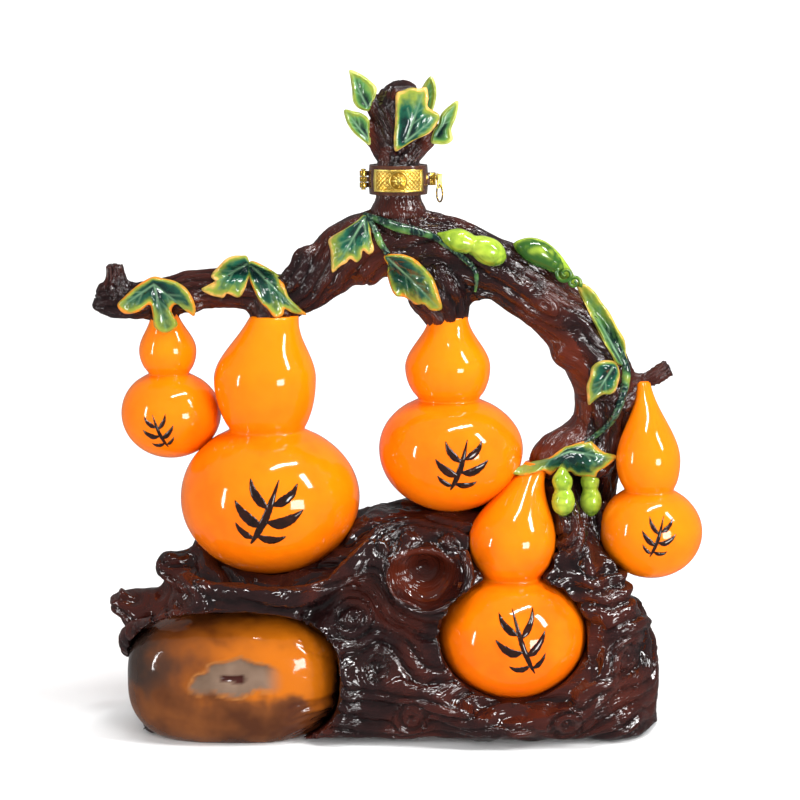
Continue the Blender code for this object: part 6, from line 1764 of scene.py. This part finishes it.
# %% Leaves of the stopper
# glaze, depth, how far the rim bends, stem point and outline
STOPPER_LEAVES = {
    "stopper_leaf_upper_left": (PALE_LEAF, -2.2, 2.0, (-13.0, 322.4), (
        (-11.6, 320.6), (-9.2, 327.0), (-8.2, 332.0), (-11.7, 335.8), (-16.2, 339.0),
        (-22.0, 341.2), (-21.6, 336.5), (-20.8, 331.0), (-20.3, 325.4), (-17.4, 321.7),
    )),
    "stopper_leaf_lower_left": (PALE_LEAF, -4.6, 1.6, (-13.2, 306.9), (
        (-11.6, 303.4), (-11.9, 310.9), (-12.2, 316.2), (-15.7, 319.3), (-19.8, 320.4),
        (-24.8, 321.0), (-23.6, 315.0), (-20.8, 310.4), (-16.8, 306.6),
    )),
    "stopper_leaf_front": (PALE_RIM_LEAF, -11.6, 1.5, (6.4, 305.4), (
        (4.6, 302.2), (1.1, 300.7), (0.5, 306.8), (1.1, 314.2), (1.4, 321.7), (1.6, 329.3),
        (5.1, 331.0), (9.1, 332.4), (13.4, 332.0), (17.0, 332.6), (18.0, 327.3), (17.8, 322.8),
        (23.5, 318.8), (22.3, 314.2), (18.3, 309.5), (11.2, 306.3),
    )),
    "stopper_leaf_right": (PALE_LEAF, -4.2, 1.6, (21.6, 308.4), (
        (19.4, 304.8), (20.9, 310.9), (23.3, 313.9), (24.4, 318.8), (28.3, 322.8), (33.2, 325.6),
        (32.3, 317.8), (29.8, 311.4), (30.6, 306.3), (27.6, 303.8), (23.0, 303.6),
    )),
    "stopper_leaf_rear": (PALE_LEAF, 11.6, -1.6, (14.0, 318.0), (
        (11.0, 315.0), (11.6, 324.0), (14.6, 331.6), (19.0, 337.6), (21.6, 334.7), (22.4, 328.1),
        (20.6, 320.4), (17.0, 316.0),
    )),
}


def bowl(depth, bend, root):
    def depth_at(xs, zs):
        away = np.hypot(xs - root[0], zs - root[1]) / 16.0
        return depth + bend * (1.4 * away ** 2 - 0.9 * away)
    return depth_at


for leaf_name, (paint, depth, bend, root, outline) in STOPPER_LEAVES.items():
    leaf = make_leaf(leaf_name + "_glazed", paint, root, outline, bowl(depth, bend, root), 1.5, 0.9)
    keep(leaf, "stopper", "leaf_glaze", leaf_name)

# %% [markdown]
# ## Locking band
# The band's rings, knuckles, pin, lock and pull ring have their final shape in the CAD. Each is
# copied, its points are welded, and a fine bevel gives its edges the thin bright line that metal
# has. Only the front plate is made anew, because it is embossed.

# %% Metal pieces from the CAD
def polished(node, paint, width):
    """A welded copy of a CAD node with rounded edges."""
    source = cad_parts[node]
    work = bmesh.new()
    work.from_mesh(source.data)
    work.transform(source.matrix_world)
    bmesh.ops.remove_doubles(work, verts=work.verts, dist=0.004 * MM)
    mesh = bpy.data.meshes.new(node)
    work.to_mesh(mesh)
    work.free()
    copy = rounded(painted(in_scene(node + "_polished", mesh), paint), width, 2)
    store(copy, "groove", np.zeros(len(copy.data.vertices)))
    return copy


# node, body, slot, material and width of the rounded edge in mm
METALS = (
    ("band_rear", "bottle", "brown_enamel", LACQUER, 0.25),
    ("band_front", "band_front", "brown_enamel", LACQUER, 0.25),
    ("hinge_pin", "bottle", "gold_metal", GOLD, 0.12),
    ("lock_core", "lock_core", "gold_metal", GOLD, 0.12),
    ("pull_ring", "pull_ring", "gold_metal", LACQUER, 0.06),
    ("stopper_seal", "stopper", "seal_silicone", SILICONE, 0.15),
)
for node, body, slot_name, paint, width in METALS:
    keep(polished(node, paint, width), body, slot_name, node)

# %% [markdown]
# The plate is a sheet bent round the band. Its relief is a sum of simple shapes in the sheet's
# own coordinates, across and up: a rosette of eight petals in the middle, a lattice of diamonds
# at both sides and a raised frame. Two rows of fine beads, set out by Geometry Nodes along the
# frame, finish it.

# %% Embossed plate
PLATE_HALF_ANGLE = radians(51.5)
PLATE_LOW, PLATE_HIGH = 280.0, 291.2
BAND_MIDDLE, BAND_HALF_HEIGHT = 285.6, 7.5
BAND_BULGE = 0.6                         # how much wider the band is in the middle of its height
PLATE_RADIUS = 15.8                      # of the plate's skin there, mm
RELIEF_HEIGHT = 0.34                     # mm


def plate_radius(z, lift):
    """The plate follows the band's bulge."""
    return PLATE_RADIUS - BAND_BULGE * (abs(z - BAND_MIDDLE) / BAND_HALF_HEIGHT) + lift


def round_the_neck(turn, radius, z):
    """A point on the band, turned by so much from the front."""
    return Vector((NECK_X + radius * sin(turn), -radius * cos(turn), z)) * MM


def emboss(across, up):
    """Height of the relief in mm, and how deep in a groove each place is, for arrays in mm."""
    away, turn = np.hypot(across, up), np.arctan2(up, across)
    petals = 3.7 * (0.72 + 0.28 * np.cos(8 * turn))
    rosette = eased(petals - away, -0.15, 0.45) * (0.65 + 0.35 * np.cos(away * 3.4))
    button = eased(1.1 - away, -0.2, 0.5)
    cells = np.abs(np.sin((across + up) * 1.35)) * np.abs(np.sin((across - up) * 1.35))
    lattice = eased(cells, 0.05, 0.45) * eased(away, 4.6, 5.2)
    ring = np.exp(-((away - 4.6) / 0.32) ** 2)
    frame_line = np.maximum(eased(np.abs(up), 4.55, 4.85), eased(np.abs(across), 12.4, 12.8))
    lattice = lattice * 0.75 * (1 - frame_line)
    pattern = np.maximum.reduce([rosette * 0.9, button, lattice, ring * 0.8])
    inner = (1 - frame_line) * (np.abs(up) < 4.7)
    height = RELIEF_HEIGHT * np.maximum(pattern * inner, frame_line * 0.9)
    return height, np.clip((1 - pattern) * inner, 0, 1)


def embossed_plate():
    columns, rows = 240, 96
    turns = np.linspace(-PLATE_HALF_ANGLE, PLATE_HALF_ANGLE, columns)
    levels = np.linspace(PLATE_LOW, PLATE_HIGH, rows)
    turn_grid, z_grid = np.meshgrid(turns, levels)
    height, groove = emboss((turn_grid * PLATE_RADIUS).ravel(), (z_grid - BAND_MIDDLE).ravel())
    height, groove = height.reshape(rows, columns), groove.reshape(rows, columns)
    rings, grooves = [], []
    for j in range(rows):
        front = [(turns[i], plate_radius(levels[j], 0.12 + height[j, i])) for i in range(columns)]
        back = [(turns[i], plate_radius(levels[j], -0.25))
                for i in range(columns - 1, -1, -columns // 12)]
        rings.append([round_the_neck(turn, radius, levels[j]) for turn, radius in front + back])
        grooves += [*groove[j], *[0.0] * len(back)]
    plate = new_object("band_plate_embossed", *loft(rings), GOLD)
    store(plate, "groove", np.array(grooves))
    return plate


# %% Rows of beads
BEAD_RADIUS = 0.22                       # mm
BEADS_IN_ROW = 52
BEADS_FROM_EDGE = 0.55                   # mm between a row and the plate's edge


def bead_tree():
    tree, given = new_tree("Beads", Bead_Radius="Float", Count="Int")
    bead = wire(tree, "GeometryNodeMeshIcoSphere", Radius=given["Bead Radius"], Subdivisions=3)
    set_out = wire(tree, "GeometryNodeInstanceOnPoints", Points=even_curve(tree, given),
                   Instance=bead.outputs["Mesh"])
    return finish_tree(tree, set_out.outputs[0], given["Material"])


def bead_row(tree, z):
    turns = np.linspace(-0.95, 0.95, 60) * PLATE_HALF_ANGLE
    row = line_object("beads", [round_the_neck(turn, plate_radius(z, 0.42), z) for turn in turns])
    inputs = {"Bead Radius": BEAD_RADIUS * MM, "Count": BEADS_IN_ROW, "Material": GOLD}
    return grown(row, tree, inputs)


BEAD_TREE = bead_tree()
plate = embossed_plate()
rows = [bead_row(BEAD_TREE, z) for z in (PLATE_LOW + BEADS_FROM_EDGE, PLATE_HIGH - BEADS_FROM_EDGE)]
beads = painted(joined("plate_beads", *rows), GOLD)
store(beads, "groove", np.zeros(len(beads.data.vertices)))
keep(plate, "band_front", "gold_metal", "band_plate")
keep(beads, "band_front", "gold_metal")
